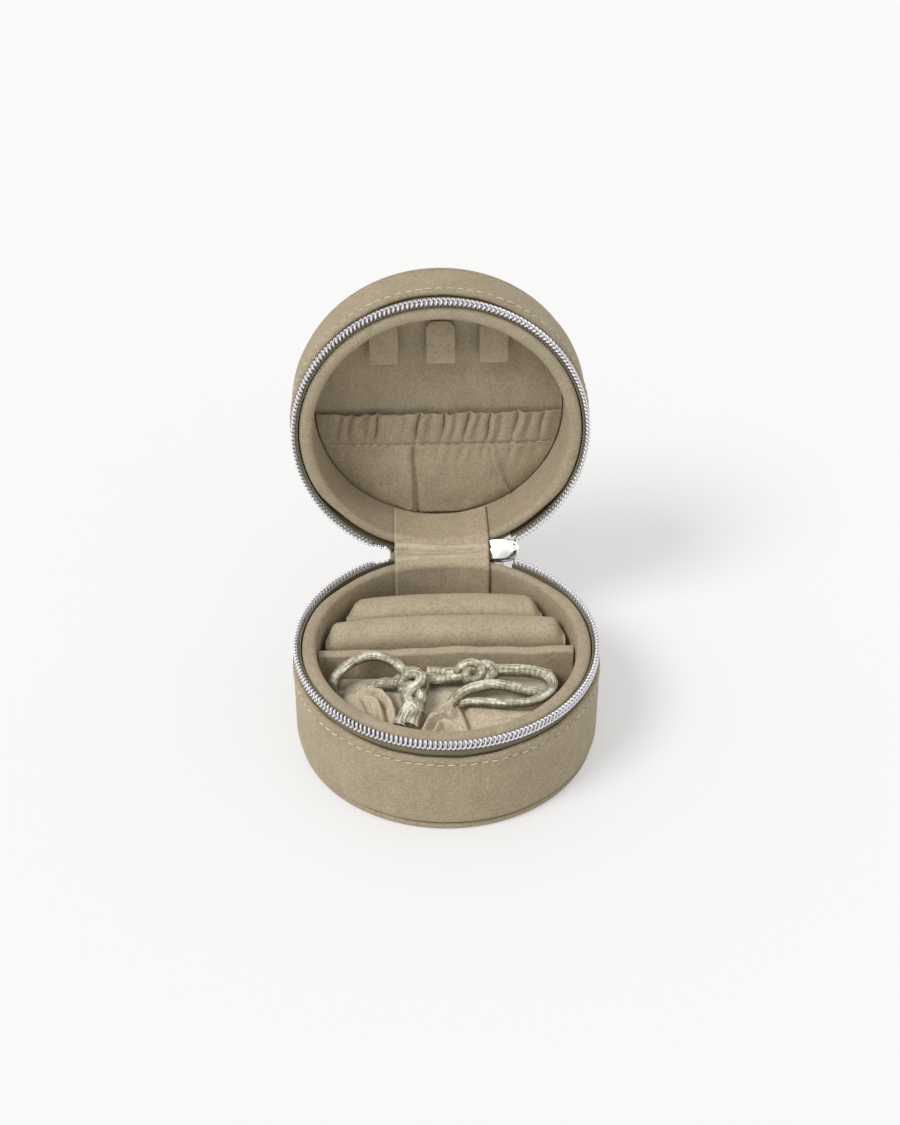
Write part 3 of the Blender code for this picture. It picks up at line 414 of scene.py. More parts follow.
def plate(outlines, thickness, bevel):
    """Points and faces of a flat plate with rounded edges, from closed outlines with holes."""
    curve = bpy.data.curves.new("plate", "CURVE")
    curve.dimensions = "2D"
    curve.fill_mode = "BOTH"
    curve.extrude = thickness / 2 - bevel
    curve.bevel_depth = bevel
    curve.bevel_resolution = 3
    curve.offset = -bevel
    for outline in outlines:
        spline = curve.splines.new("POLY")
        spline.points.add(len(outline) - 1)
        for point, (x, y) in zip(spline.points, outline):
            point.co = (x, y, 0.0, 1.0)
        spline.use_cyclic_u = True
    holder = bpy.data.objects.new("plate", curve)
    bpy.context.scene.collection.objects.link(holder)
    mesh = bpy.data.meshes.new_from_object(holder.evaluated_get(bpy.context.evaluated_depsgraph_get()))
    bm = bmesh.new()
    bm.from_mesh(mesh)
    bmesh.ops.remove_doubles(bm, verts=bm.verts, dist=1e-6)
    points = np.array([v.co[:] for v in bm.verts])
    faces = [tuple(v.index for v in f.verts) for f in bm.faces]
    bm.free()
    bpy.data.objects.remove(holder)
    bpy.data.curves.remove(curve)
    bpy.data.meshes.remove(mesh)
    return points, faces


def stitches(name, seams, length, radius, body):
    """A row of stitches, each a short rounded thread whose ends dip into the cloth.

    A seam gives the middle of its stitch, the way it runs and the way out of the cloth.
    """
    t = np.linspace(-1.0, 1.0, 9)
    wide = radius * np.sqrt(np.maximum(1.0 - 0.75 * t ** 6, 0.05))
    parts = []
    for centre, tangent, normal in seams:
        line = centre + np.outer(t, tangent) * length / 2
        line = line + np.outer(0.55 - 1.35 * t ** 4, normal) * radius * 1.25
        parts.append(tube(line, wide, 8)[:2])
    points, faces = joined(parts)
    return add_piece(name, points, faces, thread(), body)


# Materials


def new_group(name, inputs, outputs):
    group = bpy.data.node_groups.new(name, "ShaderNodeTree")
    for label, kind, default in inputs:
        socket = group.interface.new_socket(label, in_out="INPUT", socket_type=kind)
        socket.default_value = default
    for label, kind in outputs:
        group.interface.new_socket(label, in_out="OUTPUT", socket_type=kind)
    return group, group.nodes.new("NodeGroupInput"), group.nodes.new("NodeGroupOutput")


FLOAT = "NodeSocketFloat"
COLOUR = "NodeSocketColor"
FINISH = (("Color", COLOUR), ("Roughness", FLOAT), ("Height", FLOAT))


def wire(tree, *pairs):
    for out, into in pairs:
        tree.links.new(out, into)


def noise_node(tree, scale, detail, vector, roughness=0.5):
    node = tree.nodes.new("ShaderNodeTexNoise")
    node.inputs["Detail"].default_value = detail
    node.inputs["Roughness"].default_value = roughness
    if isinstance(scale, float):
        node.inputs["Scale"].default_value = scale
    else:
        tree.links.new(scale, node.inputs["Scale"])
    tree.links.new(vector, node.inputs["Vector"])
    return node.outputs["Fac"]


def spread(tree, value, low, high, out_low=0.0, out_high=1.0):
    node = tree.nodes.new("ShaderNodeMapRange")
    node.interpolation_type = "SMOOTHSTEP"
    for label, number in (("From Min", low), ("From Max", high), ("To Min", out_low), ("To Max", out_high)):
        node.inputs[label].default_value = number
    tree.links.new(value, node.inputs["Value"])
    return node.outputs["Result"]


def maths(tree, kind, a, b=None):
    node = tree.nodes.new("ShaderNodeMath")
    node.operation = kind
    for socket, value in zip(node.inputs, (a, b)):
        if value is None:
            continue
        if isinstance(value, (int, float)):
            socket.default_value = value
        else:
            tree.links.new(value, socket)
    return node.outputs["Value"]


def mixed(tree, share, a, b, blend="MIX"):
    node = tree.nodes.new("ShaderNodeMix")
    node.data_type = "RGBA"
    node.blend_type = blend
    if isinstance(share, (int, float)):
        node.inputs["Factor"].default_value = share
    else:
        tree.links.new(share, node.inputs["Factor"])
    for label, value in (("A", a), ("B", b)):
        socket = next(s for s in node.inputs if s.name == label and s.type == "RGBA")
        if isinstance(value, tuple):
            socket.default_value = (*value, 1.0)
        else:
            tree.links.new(value, socket)
    return next(s for s in node.outputs if s.type == "RGBA")


def velvet_group():
    """Short pile: fine pale tips, small dark gaps and wide brushed patches."""
    group, into, out = new_group(
        "velvet_pile",
        [("Base", COLOUR, (0.4, 0.33, 0.21, 1)), ("Tips", COLOUR, (0.6, 0.5, 0.36, 1)),
         ("Grain", FLOAT, 2600.0), ("Patches", FLOAT, 95.0), ("Amount", FLOAT, 0.5)],
        FINISH)
    place = group.nodes.new("ShaderNodeTexCoord").outputs["Object"]
    grain = noise_node(group, into.outputs["Grain"], 3.0, place, 0.62)
    fleck = noise_node(group, 1350.0, 4.0, place, 0.75)
    patch = noise_node(group, into.outputs["Patches"], 3.0, place, 0.55)
    stretch = group.nodes.new("ShaderNodeMapping")
    stretch.inputs["Scale"].default_value = (1.0, 1.0, 0.28)
    stretch.inputs["Rotation"].default_value = (0.35, 0.5, 0.2)
    wire(group, (place, stretch.inputs["Vector"]))
    brushed = noise_node(group, 420.0, 3.0, stretch.outputs["Vector"], 0.6)
    tips = maths(group, "MULTIPLY", spread(group, grain, 0.50, 0.72), into.outputs["Amount"])
    flecks = maths(group, "MULTIPLY", spread(group, fleck, 0.50, 0.74), into.outputs["Amount"])
    pale = maths(group, "MAXIMUM", tips, flecks)
    colour = mixed(group, pale, into.outputs["Base"], into.outputs["Tips"])
    gaps = spread(group, fleck, 0.54, 0.26, 0.0, 0.62)
    colour = mixed(group, gaps, colour, (0.17, 0.135, 0.085))
    shade = spread(group, patch, 0.30, 0.70, 0.945, 1.05)
    shade = maths(group, "MULTIPLY", shade, spread(group, brushed, 0.30, 0.70, 0.965, 1.035))
    grey = group.nodes.new("ShaderNodeCombineColor")
    wire(group, *[(shade, grey.inputs[k]) for k in range(3)])
    colour = mixed(group, 1.0, colour, grey.outputs["Color"], "MULTIPLY")
    wire(group, (colour, out.inputs["Color"]),
         (spread(group, grain, 0.3, 0.7, 0.96, 0.80), out.inputs["Roughness"]),
         (maths(group, "ADD", grain, maths(group, "MULTIPLY", fleck, 1.2)), out.inputs["Height"]))
    return group


def braid_group():
    """Satin strands plaited round a cord, by the mesh's own places along and round it, with painted light: upward
    faces painted light with a pale painted highlight, the rest painted towards the Dark colour as painted shade, with
    painted sheen streaks and glints.
    """
    group, into, out = new_group(
        "satin_braid",
        [("Light", COLOUR, (0.7, 0.66, 0.53, 1)), ("Dark", COLOUR, (0.2, 0.18, 0.12, 1))], FINISH)
    place = group.nodes.new("ShaderNodeTexCoord")
    parts = group.nodes.new("ShaderNodeSeparateXYZ")
    wire(group, (place.outputs["UV"], parts.inputs["Vector"]))
    along = maths(group, "MULTIPLY", parts.outputs["X"], TAU / PLAIT)
    around = maths(group, "MULTIPLY", parts.outputs["Y"], TAU * 3)
    one = maths(group, "SINE", maths(group, "ADD", along, around))
    two = maths(group, "SINE", maths(group, "SUBTRACT", along, around))
    weave = maths(group, "MULTIPLY", one, two)
    strand = group.nodes.new("ShaderNodeCombineXYZ")
    slant = maths(group, "MULTIPLY", parts.outputs["Y"], 7.0)
    wire(group, (maths(group, "ADD", maths(group, "MULTIPLY", parts.outputs["X"], 210.0), slant), strand.inputs["X"]),
         (maths(group, "MULTIPLY", parts.outputs["Y"], 25.0), strand.inputs["Y"]))
    # The object's upward normal lights the top of the cord: painted top light and painted shade.
    facing = group.nodes.new("ShaderNodeSeparateXYZ")
    wire(group, (place.outputs["Normal"], facing.inputs["Vector"]))
    # Streaks along the strands: the fibres' bump, and painted sheen streaks in the colour.
    fibres_and_sheen = noise_node(group, 1.0, 3.0, strand.outputs["Vector"], 0.65)
    # Painted glints: random bright specks of painted highlight on the cord.
    painted_glints = noise_node(group, 260.0, 2.0, place.outputs["Object"], 0.5)
    height = maths(group, "ADD", maths(group, "MULTIPLY", weave, 0.2), maths(group, "MULTIPLY", fibres_and_sheen, 0.9))
    # The crown mixes painted light from the upward normal with the weave, the painted sheen streaks and the painted
    # glints.
    crown = maths(group, "ADD", maths(group, "MULTIPLY", facing.outputs["Z"], 0.66),
                  maths(group, "MULTIPLY", weave, 0.07))
    crown = maths(group, "ADD", crown, maths(group, "MULTIPLY", maths(group, "SUBTRACT", fibres_and_sheen, 0.5), 2.2))
    crown = maths(group, "ADD", crown, maths(group, "MULTIPLY", maths(group, "SUBTRACT", painted_glints, 0.5), 1.3))
    # A low crown paints the Dark colour as painted shade, and a high crown paints a pale painted highlight.
    colour = mixed(group, spread(group, crown, 0.62, -0.30), into.outputs["Light"], into.outputs["Dark"])
    colour = mixed(group, spread(group, crown, 0.46, 0.98, 0.0, 1.0), colour, (0.90, 0.88, 0.77))
    wire(group, (colour, out.inputs["Color"]), (spread(group, fibres_and_sheen, 0.3, 0.7, 0.26, 0.42), out.inputs["Roughness"]),
         (height, out.inputs["Height"]))
    return group


def metal_group():
    """Plated metal with faint drawn lines and handling marks."""
    group, into, out = new_group(
        "plated_metal", [("Base", COLOUR, (0.8, 0.8, 0.8, 1)), ("Polish", FLOAT, 0.2), ("Dull", FLOAT, 0.1)], FINISH)
    place = group.nodes.new("ShaderNodeTexCoord").outputs["Object"]
    marks = noise_node(group, 900.0, 3.0, place, 0.6)
    cloud = noise_node(group, 160.0, 2.0, place, 0.5)
    tint = spread(group, cloud, 0.35, 0.65, 0.0, 0.22)
    colour = mixed(group, tint, into.outputs["Base"], (0.66, 0.63, 0.70))
    rough = maths(group, "ADD", into.outputs["Polish"], maths(group, "MULTIPLY", marks, into.outputs["Dull"]))
    wire(group, (colour, out.inputs["Color"]), (rough, out.inputs["Roughness"]), (marks, out.inputs["Height"]))
    return group


def weave_group():
    """Close twill: fine ribs along the cloth crossed by a slanted line."""
    group, into, out = new_group(
        "twill", [("Base", COLOUR, (0.1, 0.09, 0.05, 1)), ("Pale", COLOUR, (0.3, 0.27, 0.18, 1)),
                  ("Ribs", FLOAT, 9000.0)], FINISH)
    place = group.nodes.new("ShaderNodeTexCoord")
    parts = group.nodes.new("ShaderNodeSeparateXYZ")
    wire(group, (place.outputs["UV"], parts.inputs["Vector"]))
    along = maths(group, "MULTIPLY", parts.outputs["X"], into.outputs["Ribs"])
    over = maths(group, "MULTIPLY", parts.outputs["Y"], into.outputs["Ribs"])
    slant = maths(group, "SINE", maths(group, "ADD", along, maths(group, "MULTIPLY", over, 1.4)))
    thread = maths(group, "SINE", maths(group, "MULTIPLY", over, 2.0))
    fuzz = noise_node(group, 2600.0, 2.0, place.outputs["Object"], 0.6)
    height = maths(group, "ADD", slant, maths(group, "MULTIPLY", thread, 0.35))
    light = spread(group, maths(group, "ADD", height, fuzz), -0.3, 1.8, 0.0, 0.8)
    wire(group, (mixed(group, light, into.outputs["Base"], into.outputs["Pale"]), out.inputs["Color"]),
         (spread(group, fuzz, 0.3, 0.7, 0.70, 0.92), out.inputs["Roughness"]), (height, out.inputs["Height"]))
    return group


def board_group():
    """Pressed paper fibre."""
    group, into, out = new_group("greyboard", [("Base", COLOUR, (0.3, 0.28, 0.25, 1))], FINISH)
    place = group.nodes.new("ShaderNodeTexCoord").outputs["Object"]
    fibre = noise_node(group, 900.0, 4.0, place, 0.65)
    fleck = noise_node(group, 2400.0, 2.0, place, 0.5)
    colour = mixed(group, spread(group, fibre, 0.35, 0.68, 0.0, 0.4), into.outputs["Base"], (0.42, 0.39, 0.34))
    colour = mixed(group, spread(group, fleck, 0.62, 0.72, 0.0, 0.5), colour, (0.12, 0.11, 0.10))
    wire(group, (colour, out.inputs["Color"]), (spread(group, fibre, 0.3, 0.7, 0.82, 0.96), out.inputs["Roughness"]),
         (fibre, out.inputs["Height"]))
    return group


GROUP_MAKERS = {
    "velvet_pile": velvet_group, "satin_braid": braid_group, "plated_metal": metal_group,
    "twill": weave_group, "greyboard": board_group,
}


def material(name, group_name, values, bump=0.3, distance=0.15 * MM, **shader_values):
    """A material whose colour, roughness and bump come from a shared group."""
    name = f"fine_{name}"
    found = bpy.data.materials.get(name)
    if found:
        return found
    group = bpy.data.node_groups.get(group_name) or GROUP_MAKERS[group_name]()
    made = bpy.data.materials.new(name)
    made.use_nodes = True
    tree = made.node_tree
    shader = tree.nodes["Principled BSDF"]
    node = tree.nodes.new("ShaderNodeGroup")
    node.node_tree = group
    for label, value in values.items():
        node.inputs[label].default_value = (*value, 1.0) if hasattr(value, "__len__") else value
    bumps = tree.nodes.new("ShaderNodeBump")
    bumps.inputs["Strength"].default_value = bump
    bumps.inputs["Distance"].default_value = distance
    wire(tree, (node.outputs["Color"], shader.inputs["Base Color"]),
         (node.outputs["Roughness"], shader.inputs["Roughness"]),
         (node.outputs["Height"], bumps.inputs["Height"]), (bumps.outputs["Normal"], shader.inputs["Normal"]))
    for label, value in shader_values.items():
        shader.inputs[label.replace("_", " ")].default_value = value
    return made


# Grain, share of pale tips and patch scale of each velvet
VELVETS = {
    "wall": (2600.0, 0.5, 95.0), "lining": (2900.0, 0.36, 120.0), "nest": (2900.0, 0.36, 120.0),
    "pouch": (3200.0, 0.34, 160.0),
}


def velvet(which):
    colours = bpy.context.scene.case_colours
    grain, amount, patches = VELVETS[which]
    return material(
        f"{which}_velvet", "velvet_pile",
        {"Base": tuple(getattr(colours, which)), "Tips": tuple(colours.nap), "Grain": grain, "Patches": patches,
         "Amount": amount},
        bump=0.45, distance=0.12 * MM, Sheen_Weight=0.22, Sheen_Roughness=0.45, Sheen_Tint=(0.95, 0.88, 0.72, 1.0),
        Specular_IOR_Level=0.12)


def crease_highlight_group():
    """Pale lines across a strip that is folded again and again: painted highlight on the crease ridges, crushed pile
    on the fold between them.
    """
    group, into, out = new_group(
        "crushed_pile", [("Color", COLOUR, (0.4, 0.33, 0.2, 1)), ("Pale", COLOUR, (0.6, 0.55, 0.4, 1))],
        (("Color", COLOUR),))
    place = group.nodes.new("ShaderNodeTexCoord")
    parts = group.nodes.new("ShaderNodeSeparateXYZ")
    wire(group, (place.outputs["UV"], parts.inputs["Vector"]))
    stretch = group.nodes.new("ShaderNodeMapping")
    stretch.inputs["Scale"].default_value = (0.35, 1.0, 1.0)
    wire(group, (place.outputs["Object"], stretch.inputs["Vector"]))
    drift = noise_node(group, 190.0, 3.0, stretch.outputs["Vector"], 0.6)
    patches = noise_node(group, 420.0, 2.0, stretch.outputs["Vector"], 0.6)
    high = maths(group, "ADD", parts.outputs["Y"],
                 maths(group, "MULTIPLY", maths(group, "SUBTRACT", drift, 0.5), 0.05))
    marks = None
    # The first two lines lie on the crease ridges as painted highlight; the third, on the fold, is crushed pile.
    for at, lean, wide in ((0.540, 0.006, 0.020), (0.616, -0.010, 0.022), (0.580, 0.0, 0.010)):
        middle = maths(group, "ADD", maths(group, "MULTIPLY", parts.outputs["X"], lean), at)
        line = maths(group, "SUBTRACT", high, middle)
        mark = spread(group, maths(group, "ABSOLUTE", line), wide, 0.0)
        marks = mark if marks is None else maths(group, "MAXIMUM", marks, mark)
    amount = maths(group, "MULTIPLY", marks, spread(group, patches, 0.34, 0.62, 0.25, 0.85))
    wire(group, (mixed(group, amount, into.outputs["Color"], into.outputs["Pale"]), out.inputs["Color"]))
    return group


def strip_velvet():
    """The strip's velvet: the lining's velvet painted lighter, with pale crease lines: painted highlight on the
    ridges, crushed pile on the fold.
    """
    made = velvet("nest").copy()
    made.name = "fine_strip_velvet"
    tree = made.node_tree
    shader = tree.nodes["Principled BSDF"]
    link = shader.inputs["Base Color"].links[0]
    crease_highlight = tree.nodes.new("ShaderNodeGroup")
    crease_highlight.node_tree = crease_highlight_group()
    # The pale colour of these lines is painted highlight on the ridges and crushed pile on the fold.
    crease_highlight.inputs["Pale"].default_value = (0.66, 0.58, 0.44, 1.0)
    wire(tree, (link.from_socket, crease_highlight.inputs["Color"]), (crease_highlight.outputs["Color"], shader.inputs["Base Color"]))
    return made


def metal(name, colour, polish, dull, bump, metallic):
    return material(name, "plated_metal", {"Base": tuple(colour), "Polish": polish, "Dull": dull},
                    bump=bump, distance=0.05 * MM, Metallic=metallic)


def coil_metal():
    return metal("silver_coil", bpy.context.scene.case_colours.coil, 0.22, 0.16, 0.1, 0.75)


def bright_metal():
    return metal("polished_metal", bpy.context.scene.case_colours.metal, 0.10, 0.10, 0.05, 1.0)


def tape_cloth():
    colour = tuple(bpy.context.scene.case_colours.tape)
    return material("zip_tape", "twill", {"Base": colour, "Pale": (0.33, 0.30, 0.20), "Ribs": 5600.0},
                    bump=0.5, distance=0.15 * MM, Specular_IOR_Level=0.2)


def elastic_cloth():
    colour = tuple(bpy.context.scene.case_colours.elastic)
    return material("elastic", "twill", {"Base": colour, "Pale": (0.58, 0.51, 0.39), "Ribs": 5200.0},
                    bump=0.5, distance=0.2 * MM, Specular_IOR_Level=0.25)


def satin():
    colour = tuple(bpy.context.scene.case_colours.cord)
    # The Dark colour is painted shade on the cord's lower sides.
    return material("satin_cord", "satin_braid", {"Light": colour, "Dark": (0.085, 0.074, 0.040)},
                    bump=0.7, distance=0.25 * MM, Metallic=0.15, Specular_IOR_Level=0.6)


def thread():
    colour = tuple(bpy.context.scene.case_colours.thread)
    # The Dark colour is painted shade on the thread's lower sides.
    return material("sewing_thread", "satin_braid", {"Light": colour, "Dark": (0.40, 0.34, 0.23)},
                    bump=0.3, distance=0.1 * MM, Specular_IOR_Level=0.3)


def greyboard():
    colour = tuple(bpy.context.scene.case_colours.board)
    return material("greyboard", "greyboard", {"Base": colour}, bump=0.4, distance=0.1 * MM)


# Stage and frame


def stand_camera(scene):
    look = Vector((0.0, math.cos(CAMERA_TILT), -math.sin(CAMERA_TILT)))
    up = Vector((0.0, math.sin(CAMERA_TILT), math.cos(CAMERA_TILT)))
    right = Vector((1.0, 0.0, 0.0))
    place = Vector((0.0, 0.0, BASE_HEIGHT)) - look * CAMERA_DISTANCE
    place -= right * CAMERA_SHIFT[0] + up * CAMERA_SHIFT[1]
    stand = Matrix((right, up, -look)).transposed().to_4x4()
    stand.translation = place
    camera = bpy.data.cameras.new("camera")
    camera.lens = FOCAL
    camera.sensor_width = 36.0
    camera.sensor_fit = "HORIZONTAL"
    camera.clip_start = 0.01
    holder = bpy.data.objects.new("camera", camera)
    holder.matrix_world = Matrix.Rotation(-CASE_TURN, 4, "Z") @ stand
    scene.collection.objects.link(holder)
    scene.camera = holder


def light_studio(scene):
    """Even sky light with one wide soft sun; the sky itself looks as pale as the floor."""
    world = bpy.data.worlds.new("studio")
    world.use_nodes = True
    tree = world.node_tree
    sky = tree.nodes["Background"]
    sky.inputs["Color"].default_value = (1.0, 0.995, 0.985, 1.0)
    sky.inputs["Strength"].default_value = SKY_LIGHT
    seen = tree.nodes.new("ShaderNodeBackground")
    seen.inputs["Color"].default_value = (SKY_SEEN, SKY_SEEN, SKY_SEEN, 1.0)
    sight = tree.nodes.new("ShaderNodeLightPath")
    choose = tree.nodes.new("ShaderNodeMixShader")
    wire(tree, (sight.outputs["Is Camera Ray"], choose.inputs["Fac"]),
         (sky.outputs["Background"], choose.inputs[1]), (seen.outputs["Background"], choose.inputs[2]),
         (choose.outputs["Shader"], tree.nodes["World Output"].inputs["Surface"]))
    scene.world = world
    sun = bpy.data.lights.new("window", "SUN")
    sun.energy = SUN_LIGHT
    sun.angle = SUN_WIDTH
    holder = bpy.data.objects.new("window", sun)
    holder.rotation_euler = SUN_FROM.to_track_quat("Z", "Y").to_euler()
    scene.collection.objects.link(holder)


def floor_paper(pale):
    """Matt pale paper that keeps the shadow and looks near white to the camera."""
    paper = bpy.data.materials.new("studio_paper")
    paper.use_nodes = True
    tree = paper.node_tree
    shader = tree.nodes["Principled BSDF"]
    shader.inputs["Roughness"].default_value = 1.0
    shader.inputs["Specular IOR Level"].default_value = 0.0
    grain = noise_node(tree, 700.0, 2.0, tree.nodes.new("ShaderNodeTexCoord").outputs["Object"])
    tone = mixed(tree, spread(tree, grain, 0.3, 0.7), pale, tuple(c * 0.994 for c in pale))
    sight = tree.nodes.new("ShaderNodeLightPath")
    glow = tree.nodes.new("ShaderNodeEmission")
    glow.inputs["Color"].default_value = (FLOOR_GLOW, FLOOR_GLOW, FLOOR_GLOW, 1.0)
    share = maths(tree, "MULTIPLY", sight.outputs["Is Camera Ray"], GLOW_SHARE)
    blend = tree.nodes.new("ShaderNodeMixShader")
    wire(tree, (tone, shader.inputs["Base Color"]), (share, blend.inputs["Fac"]),
         (shader.outputs["BSDF"], blend.inputs[1]), (glow.outputs["Emission"], blend.inputs[2]),
         (blend.outputs["Shader"], tree.nodes["Material Output"].inputs["Surface"]))
    return paper


class CASE_OT_stage(bpy.types.Operator):
    """Camera, soft studio light and pale floor."""

    bl_idname = "case.stage"
    bl_label = "Studio"

    def execute(self, context):
        scene = context.scene
        scene.view_settings.view_transform = "Standard"
        stand_camera(scene)
        light_studio(scene)
        mesh = bpy.data.meshes.new("studio_floor")
        corners = [(x * FLOOR_HALF, y * FLOOR_HALF, FLOOR_LOW) for x, y in ((-1, -1), (1, -1), (1, 1), (-1, 1))]
        mesh.from_pydata(corners, [], [(0, 1, 2, 3)])
        mesh.materials.append(floor_paper(tuple(scene.case_colours.floor)))
        floor = bpy.data.objects.new("studio_floor", mesh)
        scene.collection.objects.link(floor)
        return {"FINISHED"}


class CASE_OT_kept_nodes(bpy.types.Operator):
    """Materials for the CAD pieces that stay as they are."""

    bl_idname = "case.kept_nodes"
    bl_label = "Kept pieces"

    def execute(self, context):
        for name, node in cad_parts.items():
            if name.endswith(("_board", "_core")):
                look = greyboard()
            elif name in ("base_floor_lining", "lid_lining"):
                look = velvet("lining")
            elif name == "pocket_elastic":
                look = elastic_cloth()
            elif name == "zip_tail_tape":
                look = tape_cloth()
            elif name.startswith("snap_") or name.endswith("_stop"):
                look = bright_metal()
            else:
                continue
            node.data.materials.clear()
            node.data.materials.append(look)
        return {"FINISHED"}


# Walls


def wall_profile(half, groove):
    """The velvet wall in radius and depth: folded edge, stitched groove, round lower corner and turned-in lip."""
    fold = (CASE_RADIUS - COVER_IN) / 2
    corner = 2.2 * MM
    low = half.height - LAYER_1
    lip = low - 1.2 * MM
    points = [(COVER_IN, lip), (COVER_IN, COVER_EDGE + fold)]
    points += [(r, d) for r, d in arc((COVER_IN + fold, COVER_EDGE + fold), fold, 180.0, 360.0, 12)][1:-1]
    runs = np.concatenate([
        np.linspace(COVER_EDGE + fold, groove - 0.9 * MM, 6), np.linspace(groove - 0.7 * MM, groove + 0.7 * MM, 11),
        np.linspace(groove + 1.0 * MM, low - corner, 16)])
    for d in runs:
        dip = 0.48 * MM * math.exp(-((d - groove) / (0.36 * MM)) ** 2)
        puff = 0.16 * MM * math.exp(-((d - groove) / (1.7 * MM)) ** 2)
        points.append((CASE_RADIUS - dip + puff, d))
    points += arc((CASE_RADIUS - corner, low - corner), corner, 0.0, 90.0, 8)[1:]
    points += [(TAPE_IN, low), (TAPE_IN, lip)]
    return points


def panel_profile(half):
    radius = CASE_RADIUS - 0.8 * MM
    low, high = half.height, half.height - 2.4 * MM
    edge = 1.0 * MM
    points = [(r, high) for r in np.linspace(0.5 * MM, radius - edge, 12)]
    points += arc((radius - edge, high + edge), edge, -90.0, 0.0, 5)[1:]
    points += arc((radius - edge, low - edge), edge, 0.0, 90.0, 5)
    points += [(r, low) for r in np.linspace(radius - edge, 0.5 * MM, 12)][1:]
    return points


def topstitch(half, sizes):
    """Topstitching round a wall, one leaning thread after another, clear of the hinge's spine."""
    radius = CASE_RADIUS - 0.10 * MM
    count = round(TAU * radius / sizes.stitch_pitch)
    seams = []
    for i in range(count):
        angle = TAU * (i + 0.5) / count + 0.004 * math.sin(5.1 * i)
        if abs((angle + math.pi) % TAU - math.pi) < 0.37:
            continue
        depth = sizes.stitch_depth + 0.10 * MM * math.sin(2.3 * i)
        lean = (0.07 + 0.05 * math.sin(1.9 * i)) * 0.01 * radius
        ends = half.place(radius, np.array([angle - 0.01, angle + 0.01]), np.array([depth - lean, depth + lean]))
        middle = half.place(radius, angle, depth)
        seams.append((middle, unit(ends[1] - ends[0]), unit(half.place(radius + MM, angle, depth) - middle)))
    stitches(f"{half.name}_topstitch", seams, sizes.stitch, sizes.thread / 2, half.name)


class CASE_OT_walls(bpy.types.Operator):
    """Velvet walls, the panels under and over them, and their topstitching."""

    bl_idname = "case.walls"
    bl_label = "Walls and panels"

    def execute(self, context):
        sizes = context.scene.case_sizes
        for half, panel in ((BASE, "base_bottom_panel"), (TOP, "lid_top_panel")):
            seed = 0.0 if half is BASE else 2.0

            def uneven(radius, angle, depth):
                return np.where(radius > COVER_IN + 0.5 * MM, wobble(angle, depth, sizes.cloth_wobble, seed), 0.0)

            def sag(angle, depth):
                front = np.exp(-((angle - math.pi - 0.05) / 0.55) ** 2)
                drop = 1.25 * MM * front + 0.16 * MM * np.sin(11 * angle + seed) + 0.10 * MM * np.sin(27 * angle)
                return np.maximum(drop, -0.2 * MM) * (1 - smooth_step(COVER_EDGE, COVER_EDGE + 3.0 * MM, depth))

            points, faces, uv = lathe(half, wall_profile(half, sizes.stitch_depth), 240, uneven, drop=sag)
            add_piece(f"{half.name}_velvet_wall", points, faces, velvet("wall"), half.name,
                      [f"{half.name}_wall_cover"], uv)
            points, faces, uv = lathe(half, panel_profile(half), 160, loop=False)
            add_piece(f"{half.name}_velvet_panel", points, faces, velvet("wall"), half.name, [panel],
                      uv)
            topstitch(half, sizes)
        return {"FINISHED"}


# Collars


class CASE_OT_collars(bpy.types.Operator):
    """Padded velvet collars inside both rims."""

    bl_idname = "case.collars"
    bl_label = "Collars"

    def execute(self, context):
        size = context.scene.case_sizes.cloth_wobble
        for half in (BASE, TOP):
            roll = (COLLAR_OUT - COLLAR_IN) / 2
            middle = COLLAR_IN + roll
            skin = 0.9 * MM
            low = half.height - LAYER_2
            inner = np.linspace(low, RIM_DROP + roll, 14)
            profile = [(COLLAR_IN, d) for d in inner]
            profile += arc((middle, RIM_DROP + roll), roll, 180.0, 360.0, 16)[1:-1]
            profile += [(COLLAR_OUT, d) for d in inner[::-1]]
            profile += [(COLLAR_OUT - skin, low), (COLLAR_OUT - skin, RIM_DROP + skin),
                        (COLLAR_IN + skin, RIM_DROP + skin), (COLLAR_IN + skin, low)]

            def uneven(radius, angle, depth):
                lie = wobble(angle, depth, size * 0.8, 4.0 + half.way)
                away = np.abs((angle + math.pi) % TAU - math.pi)
                lap = smooth_step(0.80, 1.15, away) * (1 - smooth_step(3.0 * MM, 4.6 * MM, depth))
                lap = lap * smooth_step(COLLAR_IN, COLLAR_OUT, radius) * 1.25 * MM
                return np.where(depth < low - MM, np.minimum(lie, 0.10 * MM) * (radius < middle) + lap, 0.0)

            points, faces, uv = lathe(half, profile, 192, uneven)
            add_piece(f"{half.name}_velvet_collar", points, faces, velvet("lining"), half.name,
                      [f"{half.name}_collar_wrap"], uv)
        return {"FINISHED"}


# Zip


def splay(along):
    return 1.6 * MM * smooth_step(SPLAY_START, SPLAY_START + 3.4 * MM, along)


def zip_row(half, offset, sizes):
    """One zip row: a wire wound in flat leaning loops along the rim."""
    pitch, wire_radius = sizes.coil_pitch, sizes.coil_wire
    start = SLIDER_NOSE - 0.9 * MM + offset
    turns = int((ROW_END - start) / pitch)
    turn = np.linspace(0.0, turns, turns * 18 + 1)
    wave = TAU * turn
    c, s = np.cos(wave), np.sin(wave)
    high = 1.70 * MM - wire_radius
    deep = (COIL_OUT - COIL_IN) / 2 - wire_radius
    along = start + pitch * turn - 0.46 * pitch * np.cos(wave - TAU * 0.2)
    depth = 1.25 * MM - high * np.sign(c) * np.abs(c) ** 0.75 + splay(along)
    radius = RIM_RADIUS + deep * np.sign(s) * np.abs(s) ** 0.5
    radius = radius - 0.55 * MM * np.exp(-((wave % TAU - TAU * 0.25) / 0.36) ** 2)
    line = half.place(radius, along / RIM_RADIUS, depth)
    side = unit(half.place(radius, along / RIM_RADIUS + 0.001, depth) - line)
    return tube(line, wire_radius, 7, up=side)


